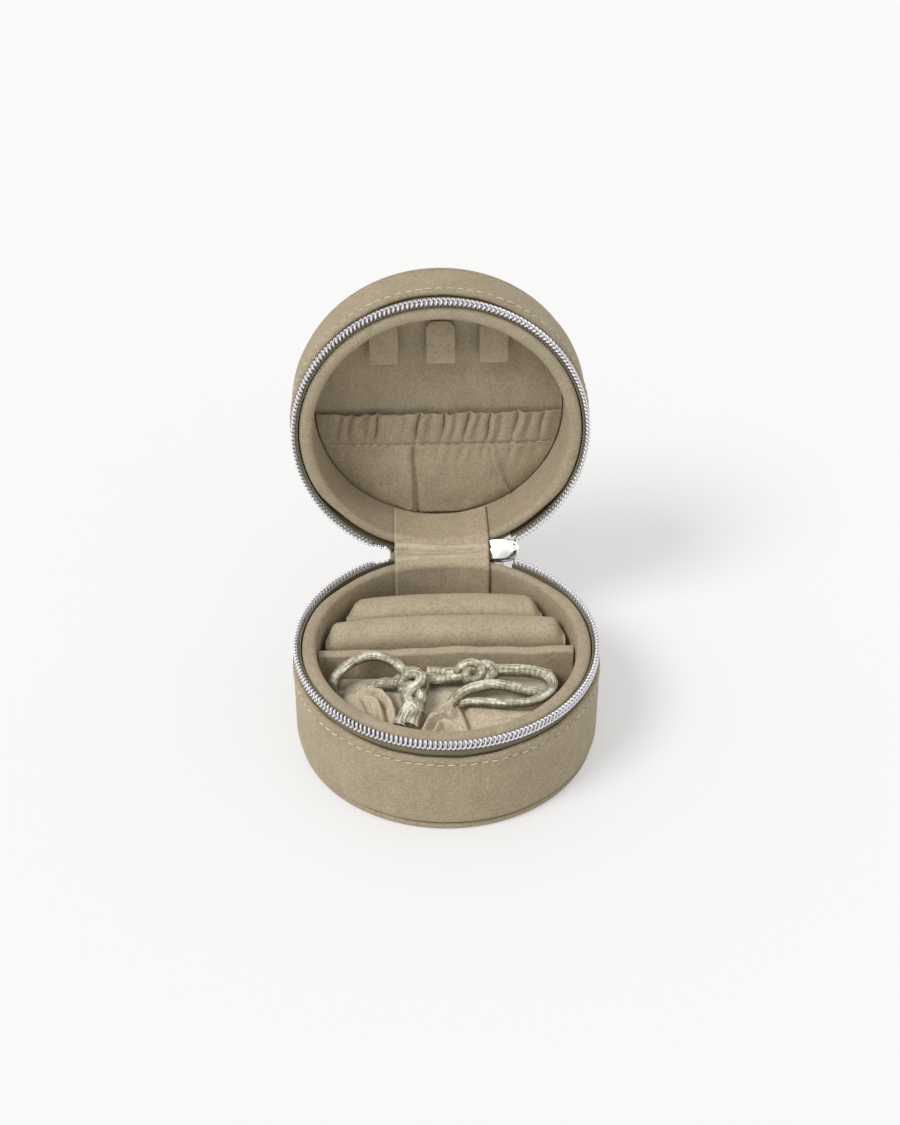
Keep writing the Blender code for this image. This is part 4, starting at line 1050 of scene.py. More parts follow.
def lofted(sections):
    """A closed solid through rings of equal count, capped at both ends."""
    grid = np.array(sections)
    rows, columns = grid.shape[:2]
    return grid.reshape(-1, 3), grid_faces(rows, columns, wrap_columns=True) + end_caps(rows, columns)


def rim_bar(stations, inside, outside, edge):
    """A rounded bar or plate along the closed rim, from (arc, low, high) stations."""
    sections = []
    for along, low, high in stations:
        e = min(edge, (high - low) / 2 * 0.95, (outside - inside) / 2 * 0.95)
        ring = []
        for centre, start in (((outside - e, high - e), 0), ((inside + e, high - e), 90),
                              ((inside + e, low + e), 180), ((outside - e, low + e), 270)):
            ring += arc(centre, e, start, start + 90, 4)
        angle = along / RIM_RADIUS
        sections.append([(r * math.sin(angle), r * math.cos(angle), BASE_HEIGHT + z) for r, z in ring])
    return lofted(sections)


def slider_shape():
    """Slider plates, wedge, lips and bridge on the closed zip, as rounded castings."""
    length, nose = SLIDER_NOSE - SLIDER_TAIL, 4.4 * MM

    def wing(half_height, tail_half, between):
        stations = []
        for s in length * np.linspace(0.0, 1.0, 33):
            if s < length - nose:
                h = tail_half + (half_height - tail_half) * s / (length - nose)
                h -= 0.9 * MM * max(0.0, 1.0 - s / MM) ** 2
            else:
                h = half_height * math.sqrt(max(1.0 - ((s - length + nose) / nose) ** 2, 0.004))
            stations.append((SLIDER_TAIL + s, -h, h))
        return rim_bar(stations, *between, 0.28 * MM)

    parts = [wing(3.9 * MM, 3.9 * MM, SLIDER_OUTER), wing(3.5 * MM, 3.3 * MM, SLIDER_INNER)]
    wedge = []
    for t in np.linspace(0.0, 1.0, 9):
        h = max(0.9 * MM * (1.0 - abs(2.0 * t - 1.0)), 0.05 * MM)
        wedge.append((SLIDER_TAIL + 4.6 * MM + 3.4 * MM * t, -h, h))
    parts.append(rim_bar(wedge, 45.9 * MM, 49.4 * MM, 0.1 * MM))
    for low, high in ((-3.85 * MM, -3.5 * MM), (3.5 * MM, 3.85 * MM)):
        lip = [(SLIDER_TAIL + 1.6 * MM + 1.4 * MM * t, low, high) for t in (0.0, 0.5, 1.0)]
        parts.append(rim_bar(lip, 48.3 * MM, 49.5 * MM, 0.12 * MM))
    t = np.linspace(0.0, 1.0, 25)
    angle = (SLIDER_TAIL + 3.25 * MM + 3.7 * MM * t) / RIM_RADIUS
    radius = 49.6 * MM + 2.65 * MM * np.maximum(np.sin(math.pi * t), 0.0) ** 0.45
    bridge = np.stack([radius * np.sin(angle), radius * np.cos(angle), np.full_like(t, BASE_HEIGHT)], axis=-1)
    up = np.tile((0.0, 0.0, 1.0), (len(bridge), 1))
    parts.append(tube(bridge, 0.45 * MM, 12, lambda reach, _, turn: reach * (1.0 + 0.95 * np.sin(turn) ** 2), up)[:2])
    return joined(parts)


def pull_shape():
    """The flat pull with its window, hanging towards the back of the closed zip."""
    half, low, end = 3.5 * MM, -0.45 * MM, 19.55 * MM
    wide, tall = 3.4 * MM, 4.0 * MM
    neck = wide / 2 + 0.9 * MM
    outline = [(-neck, low), (neck, low), (neck, low + tall), (half, low + 2 * tall)]
    outline += arc((0.0, end - half), half, 0.0, 180.0, 32)
    outline += [(-half, low + 2 * tall), (-neck, low + tall)]
    window = [(-wide / 2, -low), (wide / 2, -low), (wide / 2, -low + tall), (-wide / 2, -low + tall)]
    points, faces = plate([outline, window], 1.1 * MM, 0.28 * MM)
    angle = (SLIDER_TAIL + 5.1 * MM) / RIM_RADIUS
    radius = SLIDER_OUTER[1] + 0.9 * MM
    place = np.array([radius * math.sin(angle), radius * math.cos(angle), BASE_HEIGHT])
    axes = np.array([(0.0, 0.0, 1.0), (0.0, 1.0, 0.0), (-1.0, 0.0, 0.0)])
    return points @ axes + place, faces


class CASE_OT_zip(bpy.types.Operator):
    """Zip tapes, coil rows, slider and pull."""

    bl_idname = "case.zip"
    bl_label = "Zip"

    def execute(self, context):
        sizes = context.scene.case_sizes
        for half, offset in ((BASE, 0.0), (TOP, sizes.coil_pitch / 2)):
            depths = np.linspace(1.1 * MM, 12.0 * MM, 24)
            belly = smooth_step(2.8 * MM, 4.2 * MM, depths) * (1 - smooth_step(5.2 * MM, 7.0 * MM, depths)) * 0.75 * MM
            profile = [(TAPE_OUT + b, d) for d, b in zip(depths, belly)]
            profile += [(TAPE_IN, d) for d in depths[::-1]]
            points, faces, uv = lathe(half, profile, 180, None, (SLIDER_NOSE - 1.1 * MM) / RIM_RADIUS,
                                      (RIM_LENGTH - 17.19 * MM) / RIM_RADIUS)
            add_piece(f"{half.name}_woven_tape", points, faces, tape_cloth(), half.name,
                      [f"{half.name}_zip_tape"], uv, sharp=50)
            points, faces, uv = zip_row(half, offset, sizes)
            add_piece(f"{half.name}_coil_row", points, faces, coil_metal(), half.name,
                      [f"{half.name}_zip_coil"], uv)
        points, faces = slider_shape()
        add_piece("cast_slider", moved(TAIL, points), faces, bright_metal(), "slider", ["zip_slider"],
                  sharp=42)
        points, faces = pull_shape()
        add_piece("polished_pull", moved(TAIL, points), faces, bright_metal(), "pull", ["zip_pull"],
                  sharp=42)
        return {"FINISHED"}


# Fabric hinge


def opened(y, z):
    """A point of the closed lid's middle plane where it stands with the lid open."""
    place = LID @ Vector((0.0, y, z))
    return place.y, place.z


def strip_line(y):
    """The strip's run at one column: base wall, both rims and lid wall."""
    reach = (COLLAR_OUT - COLLAR_IN) / 2 + 0.3 * MM + 0.4 * MM
    depth = RIM_DROP + (COLLAR_OUT - COLLAR_IN) / 2
    base_rim = np.array((y + reach, BASE_HEIGHT - depth))
    lid_rim = np.array(opened(y + reach, BASE_HEIGHT + depth))
    way = lid_rim - base_rim
    lift = math.degrees(math.atan2(way[1], way[0])) + 90.0
    points = [(y, 12.0 * MM)]
    points += arc(base_rim, reach, 180.0, lift, 10)
    points += arc(lid_rim, reach, lift, 180.0 - math.degrees(LID_OPEN), 10)
    points.append(opened(y, LID_CEILING - 3.5 * MM))
    return even_line(points, 150)


def chaikin(points, rounds):
    line = np.array(points, float)
    for _ in range(rounds):
        cut = [line[0]]
        for a, b in zip(line, line[1:]):
            cut += [0.75 * a + 0.25 * b, 0.25 * a + 0.75 * b]
        cut.append(line[-1])
        line = np.array(cut)
    return line


def spine_line(y):
    edge = BASE_HEIGHT - COVER_EDGE
    lid_y, lid_z = opened(y, BASE_HEIGHT + COVER_EDGE - 1.0 * MM)
    fold_y = max(y + 1.7 * MM, lid_y - 0.7 * MM)
    fold_z = max(edge + 2.3 * MM, lid_z + 0.7 * MM)
    run = [(y, edge - 7.0 * MM), (y, edge), (y, edge + 2.3 * MM), (fold_y, fold_z), (lid_y, lid_z),
           opened(y, BASE_HEIGHT + COVER_EDGE + 7.0 * MM)]
    return even_line(chaikin(run, 3), 60)


def strip_creases(u, v):
    """Creases of the strip by its share across and along: two ridges over the fold, one line down it."""
    height = 0.3 * np.exp(-((v - 0.475) / 0.03) ** 2)
    for at, lean in ((0.545, 0.006), (0.620, -0.010)):
        height = height + np.exp(-((v - at - lean * np.sin(2.2 * u)) / 0.010) ** 2)
    height = height - 0.8 * np.exp(-((v - 0.582 - 0.004 * np.sin(5.0 * u)) / 0.011) ** 2)
    down = np.exp(-((u - 0.10 - 0.05 * np.sin(9 * v)) / 0.05) ** 2)
    height = height - 0.45 * down * np.exp(-((v - 0.40) / 0.10) ** 2)
    height = height + 0.35 * np.sin(5.3 * u + 11.0 * v) * np.sin(7.0 * v + 0.7) * (v > 0.30) * (v < 0.7)
    return np.minimum(height, 0.9)


class CASE_OT_hinge(bpy.types.Operator):
    """Velvet strip inside the hinge and the velvet spine behind it."""

    bl_idname = "case.hinge"
    bl_label = "Fabric hinge"

    def execute(self, context):
        xs = np.linspace(-STRIP_HALF, STRIP_HALF, 41)
        grid = np.array([[(x, y, z) for y, z in strip_line(float(across(STRIP_RADIUS, x)))] for x in xs])
        u = np.linspace(-1.0, 1.0, len(xs))[:, None]
        v = np.linspace(0.0, 1.0, grid.shape[1])[None, :]
        normal = grid_normals(grid)
        if normal[20, 10, 1] > 0:
            normal = -normal
        grid = grid + normal * (strip_creases(u, v) * context.scene.case_sizes.crease)[:, :, None]
        points, faces = thickened(grid, 0.8 * MM)
        flat = np.stack(np.broadcast_arrays(u, v), axis=-1).reshape(-1, 2)
        rim = np.full((len(points) - 2 * len(flat), 2), -2.0)
        strip = add_piece("velvet_hinge_strip", points, faces, strip_velvet(), None, ["hinge_strip"],
                          np.concatenate([flat, flat, rim]))
        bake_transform(strip)

        xs = np.linspace(-SPINE_HALF, SPINE_HALF, 31)
        grid = np.array([[(x, y, z) for y, z in spine_line(float(across(SPINE_RADIUS, x)))] for x in xs])
        points, faces = thickened(grid, 0.9 * MM)
        spine = add_piece("velvet_hinge_spine", points, faces, velvet("wall"), None, ["hinge_spine"])
        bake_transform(spine)
        return {"FINISHED"}


# Inside the base


def velvet_divider():
    """Velvet pulled over the divider board, a little uneven along its top."""
    low, top = BASE_FLOOR + FLOOR_GAP, BASE_HEIGHT - 6.0 * MM
    half, skin, edge = DIVIDER_HALF, 0.8 * MM, 0.9 * MM
    reach = float(across(LINING_RADIUS, DIVIDER_MIDDLE + DIVIDER_HALF)) - 0.3 * MM
    sections = []
    for x in np.linspace(-reach, reach, 81):
        t = x / reach
        rise = 0.28 * MM * math.sin(6.1 * t + 0.8) + 0.14 * MM * math.sin(17.0 * t) - 0.35 * MM * t * t
        push = 0.16 * MM * math.sin(4.3 * t + 2.0) + 0.07 * MM * math.sin(15.0 * t + 1.0)
        high = top + rise - 0.05 * MM
        ring = [(-half + push * 0.5, low)]
        ring += [(-half + push, z) for z in np.linspace(low + 2 * MM, high - edge, 6)]
        ring += arc((-half + edge + push, high - edge), edge, 180.0, 90.0, 5)[1:]
        ring += arc((half - edge + push, high - edge), edge, 90.0, 0.0, 5)
        ring += [(half + push * 0.7, z) for z in np.linspace(high - edge, low, 7)[1:]]
        ring += [(half - skin, low), (half - skin, top - skin), (skin - half, top - skin), (skin - half, low)]
        sections.append([(x, DIVIDER_MIDDLE + y, z) for y, z in ring])
    return lofted(sections)


def ring_roll(middle, wall_gap, seed):
    """A padded bar under velvet: crowned top, rounded ends, soft dimples."""
    thick = ROLL_THICKNESS
    wall = LINING_RADIUS - wall_gap
    low = BASE_FLOOR + FLOOR_GAP
    front = middle - thick / 2
    end = float(across(wall, middle))
    sections = []
    for i in range(97):
        x = -end * math.cos(math.pi * i / 96)
        back = min(middle + thick / 2, float(across(wall, x)))
        half = (back - front) / 2
        t = x / end
        drop = 2.5 * MM * t * t + 3.2 * MM * float(smooth_step(end - 5.0 * MM, end, abs(x))) ** 2
        drop += 0.10 * MM * math.sin(5.0 * t + seed) - 0.3 * MM
        crest = BASE_HEIGHT - 1.9 * MM - drop
        inset = 0.45 * MM * float(smooth_step(end - 3.0 * MM, end, abs(x)))
        crown = half * 0.96
        walls = np.linspace(low, crest - crown, 8)
        ring = [(back - inset, z) for z in walls[:-1]]
        for k in range(33):
            a = math.pi * k / 32
            c, s = math.cos(a), math.sin(a)
            y = front + half + (half - inset) * math.copysign(abs(c) ** 0.80, c)
            z = crest - crown + crown * abs(s) ** 0.86
            z += 0.04 * MM * math.sin(13.0 * t + 4.0 * c + seed)
            ring.append((y, z))
        ring += [(front + inset, z) for z in walls[-2::-1]]
        sections.append([(x, y, z) for y, z in ring])
    return lofted(sections)


class CASE_OT_base_inside(bpy.types.Operator):
    """Divider and ring rolls in the base."""

    bl_idname = "case.base_inside"
    bl_label = "Base inside"

    def execute(self, context):
        points, faces = velvet_divider()
        # The divider and rolls take the lining's velvet painted lighter: painted light.
        add_piece("velvet_divider", points, faces, velvet("nest"), "base", ["divider_cover"], sharp=60)
        for which, middle, gap, seed in (("front", 11.8 * MM, 0.7 * MM, 0.4), ("back", 23.2 * MM, 1.6 * MM, 1.9)):
            points, faces = ring_roll(middle, gap, seed)
            roll = add_piece(f"padded_roll_{which}", points, faces, velvet("nest"), "base",
                             [f"ring_roll_{which}"], sharp=60)
        return {"FINISHED"}


# Inside the lid

# Place across the hem, width and depth of each gather, and the pocket's lines, in millimetres
GATHERS = (
    (-34.0, 1.0, 0.5), (-30.2, 0.9, 0.8), (-25.0, 1.1, 0.8), (-21.0, 0.8, 1.0), (-15.5, 0.8, 0.23), (-11.6, 0.9, 0.28),
    (-7.2, 0.8, 1.1), (-2.8, 0.8, 0.25), (1.4, 0.8, 1.1), (5.2, 0.8, 0.25), (9.2, 0.8, 1.0), (13.0, 0.8, 0.25),
    (16.6, 0.7, 1.0), (20.6, 0.8, 0.25), (25.6, 0.9, 1.0), (30.2, 1.0, 0.28), (34.6, 1.0, 0.7),
)
POCKET_TOP = 1.6
POCKET_STITCH = 13.3
POCKET_LOW = 40.2
POCKET_SEAM = 29


def pocket_grid(gather):
    """The pocket's cloth: gathered hem, stitched line, one lapped pleat and one sharp crease below."""
    radius = LINING_RADIUS - 0.3 * MM
    rows = np.concatenate([np.linspace(POCKET_TOP, POCKET_STITCH - 0.7, 26),
                           np.linspace(POCKET_STITCH - 0.5, POCKET_STITCH + 0.5, 7),
                           np.linspace(POCKET_STITCH + 0.8, POCKET_LOW, 46)]) * MM
    share = np.linspace(-1.0, 1.0, 321)
    y = rows[:, None]
    edge = across(radius, y)
    x = share[None, :] * edge
    xm, ym = x / MM, y / MM
    free = 1.0 - np.abs(share[None, :]) ** 8
    hem = 1.0 - smooth_step(POCKET_STITCH - 1.5, POCKET_STITCH + 0.3, ym)
    below = smooth_step(POCKET_STITCH, POCKET_STITCH + 3.0, ym)
    fold = np.zeros_like(xm + ym)
    for k, (at, wide, deep) in enumerate(GATHERS):
        lean = -0.17 * (ym - 7.0) + 0.25 * np.sin(0.5 * ym + 1.3 * k)
        off = (xm - at - lean) / wide
        swell = np.exp(-((off - 1.9) / 1.6) ** 2) * 0.55
        reach = 0.35 + 0.65 * np.sin(np.clip((ym - POCKET_TOP + 2.0 + (k % 3)) / 12.5, 0, 1) * math.pi) ** 0.7
        fold += (swell - np.exp(-off ** 2)) * deep * reach * hem
        tail = np.exp(-((ym - POCKET_STITCH) / 5.5) ** 2) * below
        fold += (0.45 * swell - 0.4 * np.exp(-(off / 1.3) ** 2)) * deep * tail
    stand = 1.95 * MM + gather * 0.62 * fold * free
    stand = stand - 0.50 * MM * np.exp(-((ym - POCKET_STITCH) / 0.55) ** 2) * free
    fall = smooth_step(POCKET_STITCH, 26.0, ym) * (1.0 - smooth_step(30.0, POCKET_LOW, ym))
    stand = stand + 1.15 * MM * fall * free + 0.6 * MM * hem * free
    pleat = xm - (-9.8 + 0.035 * (ym - 15.0))
    lap = smooth_step(-7.0, -0.15, pleat) * (1.0 - smooth_step(-0.05, 0.45, pleat))
    dip = np.exp(-((pleat - 1.1) / 1.1) ** 2)
    stand = stand + (1.15 * lap - 0.75 * dip) * MM * below
    ridge = xm - (17.9 + 0.305 * (ym - 13.7))
    sharp = np.exp(-np.abs(ridge) / 0.42) * 1.05 - 0.42 * np.exp(-((ridge + 1.5) / 1.2) ** 2)
    stand = stand + sharp * MM * below * (1.0 - smooth_step(33.0, 36.5, ym))
    stand = stand + 0.16 * MM * np.sin(0.35 * xm + 0.21 * ym) * np.sin(0.23 * ym + 0.4) * below
    stand = np.maximum(stand, 0.95 * MM) * (0.55 + 0.45 * free)
    top_wave = 0.28 * MM * np.sin(0.41 * xm + 0.6) * (1.0 - smooth_step(POCKET_TOP, 6.0, ym)) * free
    return np.stack(np.broadcast_arrays(x, y + top_wave, LID_CEILING - stand), axis=-1)


def tab_shape(which, x):
    """A rounded velvet tab, sewn at its round end and curling a little at its free end."""
    half, length, corner = 4.75 * MM, 14.0 * MM, 3.0 * MM
    outline = [(half - 0.4 * MM, length), (-half + 0.4 * MM, length), (-half, length - 0.4 * MM)]
    outline += [(-half, t) for t in np.linspace(length - 1.4 * MM, corner + MM, 10)]
    outline += arc((-half + corner, corner), corner, 180.0, 270.0, 8)
    outline += arc((half - corner, corner), corner, 270.0, 360.0, 8)
    outline += [(half, t) for t in np.linspace(corner + MM, length - 1.4 * MM, 10)] + [(half, length - 0.4 * MM)]
    points, faces = plate([outline], 1.3 * MM, 0.42 * MM)
    lift = {"left": 0.25, "center": 0.0, "right": 0.15}[which]
    bow = points[:, 0] / half
    points[:, 2] += lift * MM * bow * (points[:, 1] / length) - 0.22 * MM * bow ** 2 * (points[:, 1] / length)
    sewn = Vector((x, -32.2 * MM, LID_CEILING - 0.3 * MM - 0.6 * MM))
    pose = LID @ Matrix.Translation(sewn) @ Matrix.Rotation(-math.radians(16.0), 4, "X")
    return moved(pose, points), faces


class CASE_OT_lid_inside(bpy.types.Operator):
    """Gathered pocket with its stitching, and the three necklace tabs."""

    bl_idname = "case.lid_inside"
    bl_label = "Lid inside"

    def execute(self, context):
        sizes = context.scene.case_sizes
        grid = moved(LID, pocket_grid(sizes.gather))
        points, faces = thickened(grid, 0.7 * MM)
        pocket = add_piece("gathered_pocket", points, faces, velvet("lining"), "lid", ["lid_pocket"])
        line, normal = grid[POCKET_SEAM], grid_normals(grid)[POCKET_SEAM]
        if normal[len(line) // 2] @ np.array(LID.to_3x3() @ Vector((0, 0, -1))) < 0:
            normal = -normal
        seams = []
        place = 12
        while place < grid.shape[1] - 12:
            way = unit(line[place + 4] - line[place - 4])
            seams.append((line[place] + normal[place] * 0.38 * MM, way, normal[place]))
            place += 11 + (place * 7) % 4
        stitches("pocket_stitches", seams, 2.1 * MM, sizes.thread / 2, "lid")
        for which, x in (("left", -18.0 * MM), ("center", 0.6 * MM), ("right", 18.0 * MM)):
            points, faces = tab_shape(which, x)
            # The tabs take the lining's velvet painted lighter than the lining they lie on: painted light.
            tab = add_piece(f"velvet_tab_{which}", points, faces, velvet("nest"), f"tab_{which}",
                            [f"necklace_tab_{which}"], sharp=70)
        return {"FINISHED"}


# Drawstring pouch


# Folds of the pouch in millimetres: a line, its width, and a ridge's top or a crease's depth
POUCH_RIDGES = (
    (((-28.2, -14.4), (-24.8, -13.2), (-21.0, -14.2), (-18.6, -18.4), (-17.4, -23.0), (-17.2, -27.4)), 1.7, 28.5),
    (((-25.2, -16.4), (-22.8, -18.0), (-21.6, -22.4), (-20.6, -30.0)), 1.5, 28.3),
    (((-19.7, -21.0), (-18.9, -25.4), (-18.6, -30.0)), 1.0, 27.3),
    (((2.8, -19.8), (-2.0, -22.8), (-6.0, -25.6), (-8.4, -32.4)), 1.9, 27.8),
    (((-4.8, -31.8), (-3.6, -28.8), (-2.2, -27.0)), 1.4, 27.0),
    (((-2.0, -26.8), (1.6, -29.4), (5.4, -32.8)), 1.9, 27.3),
    (((-1.8, -21.8), (1.0, -19.9), (3.4, -18.3)), 2.4, 28.6),
    (((7.6, -20.4), (12.0, -22.0), (20.0, -24.2), (28.0, -25.8)), 4.6, 27.0),
    (((8.6, -30.4), (14.0, -28.4), (21.0, -28.0)), 3.8, 26.7),
    (((-9.0, -14.0), (0.0, -13.6), (9.0, -14.0)), 4.6, 26.2),
)
POUCH_CREASES = (
    (((4.7, -20.2), (5.4, -22.6), (6.1, -25.6), (7.1, -32.4)), 0.8, 3.2),
    (((-26.7, -18.6), (-25.0, -22.5), (-23.6, -30.0)), 0.7, 1.7),
    (((-23.6, -15.2), (-20.8, -17.6), (-19.7, -22.4), (-19.2, -28.5)), 0.6, 2.1),
    (((-30.0, -16.6), (-26.6, -16.2)), 0.7, 1.3),
    (((-13.0, -31.0), (-11.0, -26.0), (-6.4, -22.8), (-0.6, -22.4)), 0.9, 1.9),
    (((-6.9, -30.8), (-5.2, -27.8), (-1.4, -25.4), (2.8, -22.8)), 0.6, 1.7),
    (((-1.4, -28.8), (1.2, -32.4)), 0.8, 1.5),
    (((9.0, -18.2), (15.0, -19.8), (24.0, -21.4)), 0.8, 0.8),
)
POUCH_SEAMS = (((-26.0, -17.4), (-24.9, -20.4), (-23.4, -26.6)), ((-7.2, -28.4), (-5.2, -25.9), (-1.6, -23.4)))


def bump_along(x, y, line, wide):
    """Nearness to a broken line, 1 on it and falling off over its width."""
    best = np.full(np.broadcast(x, y).shape, 1e9)
    for (ax, ay), (bx, by) in zip(line, line[1:]):
        dx, dy = bx - ax, by - ay
        t = np.clip(((x - ax) * dx + (y - ay) * dy) / (dx * dx + dy * dy), 0.0, 1.0)
        best = np.minimum(best, np.hypot(x - ax - t * dx, y - ay - t * dy))
    return np.exp(-(best / wide) ** 2)


def soft_max(a, b, blend):
    h = np.clip(0.5 + 0.5 * (a - b) / blend, 0.0, 1.0)
    return b + (a - b) * h + blend * h * (1.0 - h)


def pouch_height(x, y):
    """Height of the folded pouch over its place, in millimetres, from its folds and flaps."""
    z = 25.3 + 0.05 * (y + 18.0)
    low_left = 1.0 - smooth_step(-21.0, -14.5, x)
    z = z * (1.0 - low_left) + (20.5 + 0.04 * (y + 15.0)) * low_left
    dome = 28.3 - 0.085 * ((x + 28.8) ** 2 * 0.9 + (y + 18.6) ** 2 * 0.62)
    z = soft_max(z, dome, 0.8)
    for line, wide, top in POUCH_RIDGES:
        z = soft_max(z, top - 4.8 * (1.0 - bump_along(x, y, line, wide)), 0.45)
    for line, wide, deep in POUCH_CREASES:
        z = z - deep * bump_along(x, y, line, wide)
    z = z + 0.16 * np.sin(0.55 * x + 0.32 * y) + 0.12 * np.sin(0.38 * x - 0.71 * y + 1.0)
    z = z + 0.07 * np.sin(1.4 * x + 0.9 * y + 0.3) + 0.06 * np.sin(1.1 * x - 1.6 * y)
    return z


def pouch_shape():
    """The pouch as it lies in the front compartment: folded top, tucked sides."""
    wall = LINING_RADIUS / MM - 0.9
    back = (DIVIDER_MIDDLE - DIVIDER_HALF) / MM - 1.2
    columns, rows, sides, reach, tuck = 181, 121, 10, 35.0, 3.4
    x = np.tile(np.linspace(-reach, reach, columns), (rows, 1))
    front = -across(wall, x)
    y = front + (back - front) * np.linspace(0.0, 1.0, rows)[:, None]
    rim = np.minimum(np.minimum(y - front, back - y), reach - np.abs(x))
    z = pouch_height(x, y) - tuck * (1.0 - np.clip(rim / tuck, 0.0, 1.0)) ** 2
    points = np.stack([x, y, z], axis=-1).reshape(-1, 3) * MM
    faces = grid_faces(rows, columns)
    edge = grid_edge(rows, columns)
    foot = BASE_FLOOR + FLOOR_GAP
    last, stack, count = edge, [points], len(points)
    for t in np.arange(1, sides + 1) / sides:
        ring = points[edge].copy()
        ring[:, 2] = ring[:, 2] * (1.0 - t) + foot * t
        swell = 0.6 * MM * math.sin(math.pi * t) - 6.0 * MM * max(0.0, t - 0.8)
        ring[:, :2] -= unit(ring[:, :2].mean(axis=0) - ring[:, :2]) * min(swell, 0.35 * MM)
        stack.append(ring)
        here = list(range(count, count + len(edge)))
        for i in range(len(edge)):
            n = (i + 1) % len(edge)
            faces.append((last[i], last[n], here[n], here[i]))
        last = here
        count += len(edge)
    faces.append(last)
    return np.concatenate(stack), faces


def pouch_seams():
    """Stitches of the hem, lying on the pouch's folds."""
    step = 0.3
    seams = []
    for route in POUCH_SEAMS:
        line = smooth_route([(x, y, 0.0) for x, y in route], 1.9)
        for here, there in zip(line, line[1:]):
            x, y, _ = (here + there) / 2
            z, beside, behind = pouch_height(np.array([x, x + step, x]), np.array([y, y, y + step]))
            normal = unit(np.array([z - beside, z - behind, step]))
            way = unit(there - here)
            seams.append((np.array([x, y, z]) * MM, unit(way - normal * np.dot(way, normal)), normal))
    return seams


class CASE_OT_pouch(bpy.types.Operator):
    """The folded velvet pouch and the stitches of its hem."""

    bl_idname = "case.pouch"
    bl_label = "Pouch"

    def execute(self, context):
        points, faces = pouch_shape()
        # The pouch wears the lining's velvet painted lighter: painted light.
        add_piece("folded_pouch", points, faces, velvet("pouch"), "pouch", ["pouch_bag"])
        stitches("pouch_hem_stitches", pouch_seams(), 1.25 * MM, 0.2 * MM, "pouch")
        return {"FINISHED"}


# Drawstrings: routes from the part's own source, in millimetres from the rim's plane
LEFT_LOOP = (
    (-11.6, -14.4, -6.2), (-13.2, -10.2, -5.4), (-16.0, -5.8, -5.0), (-20.5, -2.6, -4.6), (-25.5, -2.2, -4.6),
    (-30.5, -4.6, -5.0), (-34.6, -8.2, -6.2), (-36.5, -10.8, -9.0), (-36.0, -10.8, -12.6), (-33.0, -8.6, -15.0),
    (-28.5, -6.6, -15.0), (-23.5, -7.0, -13.0), (-19.6, -9.2, -10.6), (-16.8, -11.4, -8.4), (-12.8, -14.2, -7.4),
)
RIGHT_LOOP = (
    (3.0, -19.2, -11.2), (6.0, -20.4, -9.0), (11.0, -21.8, -7.7), (18.0, -23.2, -7.2), (25.0, -23.0, -7.0),
    (30.5, -20.4, -6.8), (32.8, -16.0, -6.4), (31.0, -12.0, -6.0), (26.5, -10.2, -5.6), (20.5, -9.6, -5.4),
    (15.6, -9.2, -5.6), (11.6, -9.0, -6.2),
)
RIGHT_STRAND = (
    (-0.6, -20.8, -12.2), (1.8, -19.2, -8.8), (5.2, -17.2, -7.0), (9.6, -16.0, -6.2), (14.2, -15.4, -6.0),
    (19.0, -15.8, -6.6), (23.6, -16.6, -7.6), (27.4, -17.2, -8.1), (30.4, -18.0, -8.6),
)
TAILS = {
    "left_a": ((-12.2, -21.4, -6.4), (-13.2, -24.6, -7.2), (-14.6, -28.6, -7.8), (-15.6, -32.0, -8.2)),
    "left_b": ((-10.0, -21.4, -6.4), (-9.4, -24.6, -7.2), (-10.9, -28.4, -7.8), (-12.0, -32.0, -8.2)),
    "right_a": ((4.8, -8.2, -6.4), (1.6, -7.4, -7.4), (-2.4, -6.7, -8.0), (-6.4, -6.5, -8.1)),
    "right_b": ((4.8, -9.8, -6.4), (1.4, -10.4, -7.4), (-2.6, -10.2, -8.0), (-6.2, -10.0, -8.1)),
}


# Strands of each knot, from its middle, then where it lies and how far it swells
LEFT_KNOT = (
    ((-1.8, 7.2, 1.3), (0.8, 5.8, 2.2), (2.4, 3.6, 2.3), (2.0, 1.2, 2.0), (0.0, -0.2, 1.6), (-1.7, -1.8, 0.9),
     (-1.0, -3.8, 0.1), (0.9, -5.4, -0.7), (1.4, -7.4, -1.2)),
    ((-4.4, 4.4, -1.2), (-2.2, 3.2, 0.2), (-0.2, 1.6, 0.8), (1.9, -0.8, 0.6), (2.0, -3.0, -0.2), (0.0, -4.6, -0.4),
     (-1.5, -6.0, -1.0), (-2.0, -7.6, -1.2)),
    ((-2.4, 1.6, -1.2), (-2.7, 3.0, 0.8), (-0.4, 4.3, 2.7), (2.3, 4.0, 2.0), (3.1, 2.2, 0.2), (2.4, 0.8, -1.2)),
)
RIGHT_KNOT = (
    ((-7.0, 0.4, -0.9), (-4.6, 0.0, 0.0), (-3.2, 0.4, 1.7), (-0.6, 1.0, 2.6), (1.9, 0.2, 1.9), (2.2, -1.6, 0.2),
     (0.4, -2.6, -0.7), (-1.7, -2.2, -0.1), (-1.5, -0.8, 1.2), (0.6, 0.2, 1.0), (3.4, 0.4, 0.2), (6.8, 0.2, 0.6)),
    ((0.8, 1.6, -1.2), (2.4, 1.6, 1.0), (4.4, 1.0, 1.6), (5.9, -0.2, 0.8), (5.2, -1.6, -0.2), (3.2, -1.8, -0.8)),
    ((-7.0, -1.0, -1.0), (-4.2, -1.2, -0.6), (-1.2, -0.4, -0.4), (2.0, 1.0, -0.8)),
)


KNOTS = {
    "left": ((-11.2, -17.8, -6.6), (1.12, 1.22, 1.05), LEFT_KNOT),
    "right": ((7.9, -9.0, -6.6), (1.16, 1.18, 1.08), RIGHT_KNOT),
}


def below_rim(points):
    return [(x * MM, y * MM, BASE_HEIGHT + z * MM) for x, y, z in points]


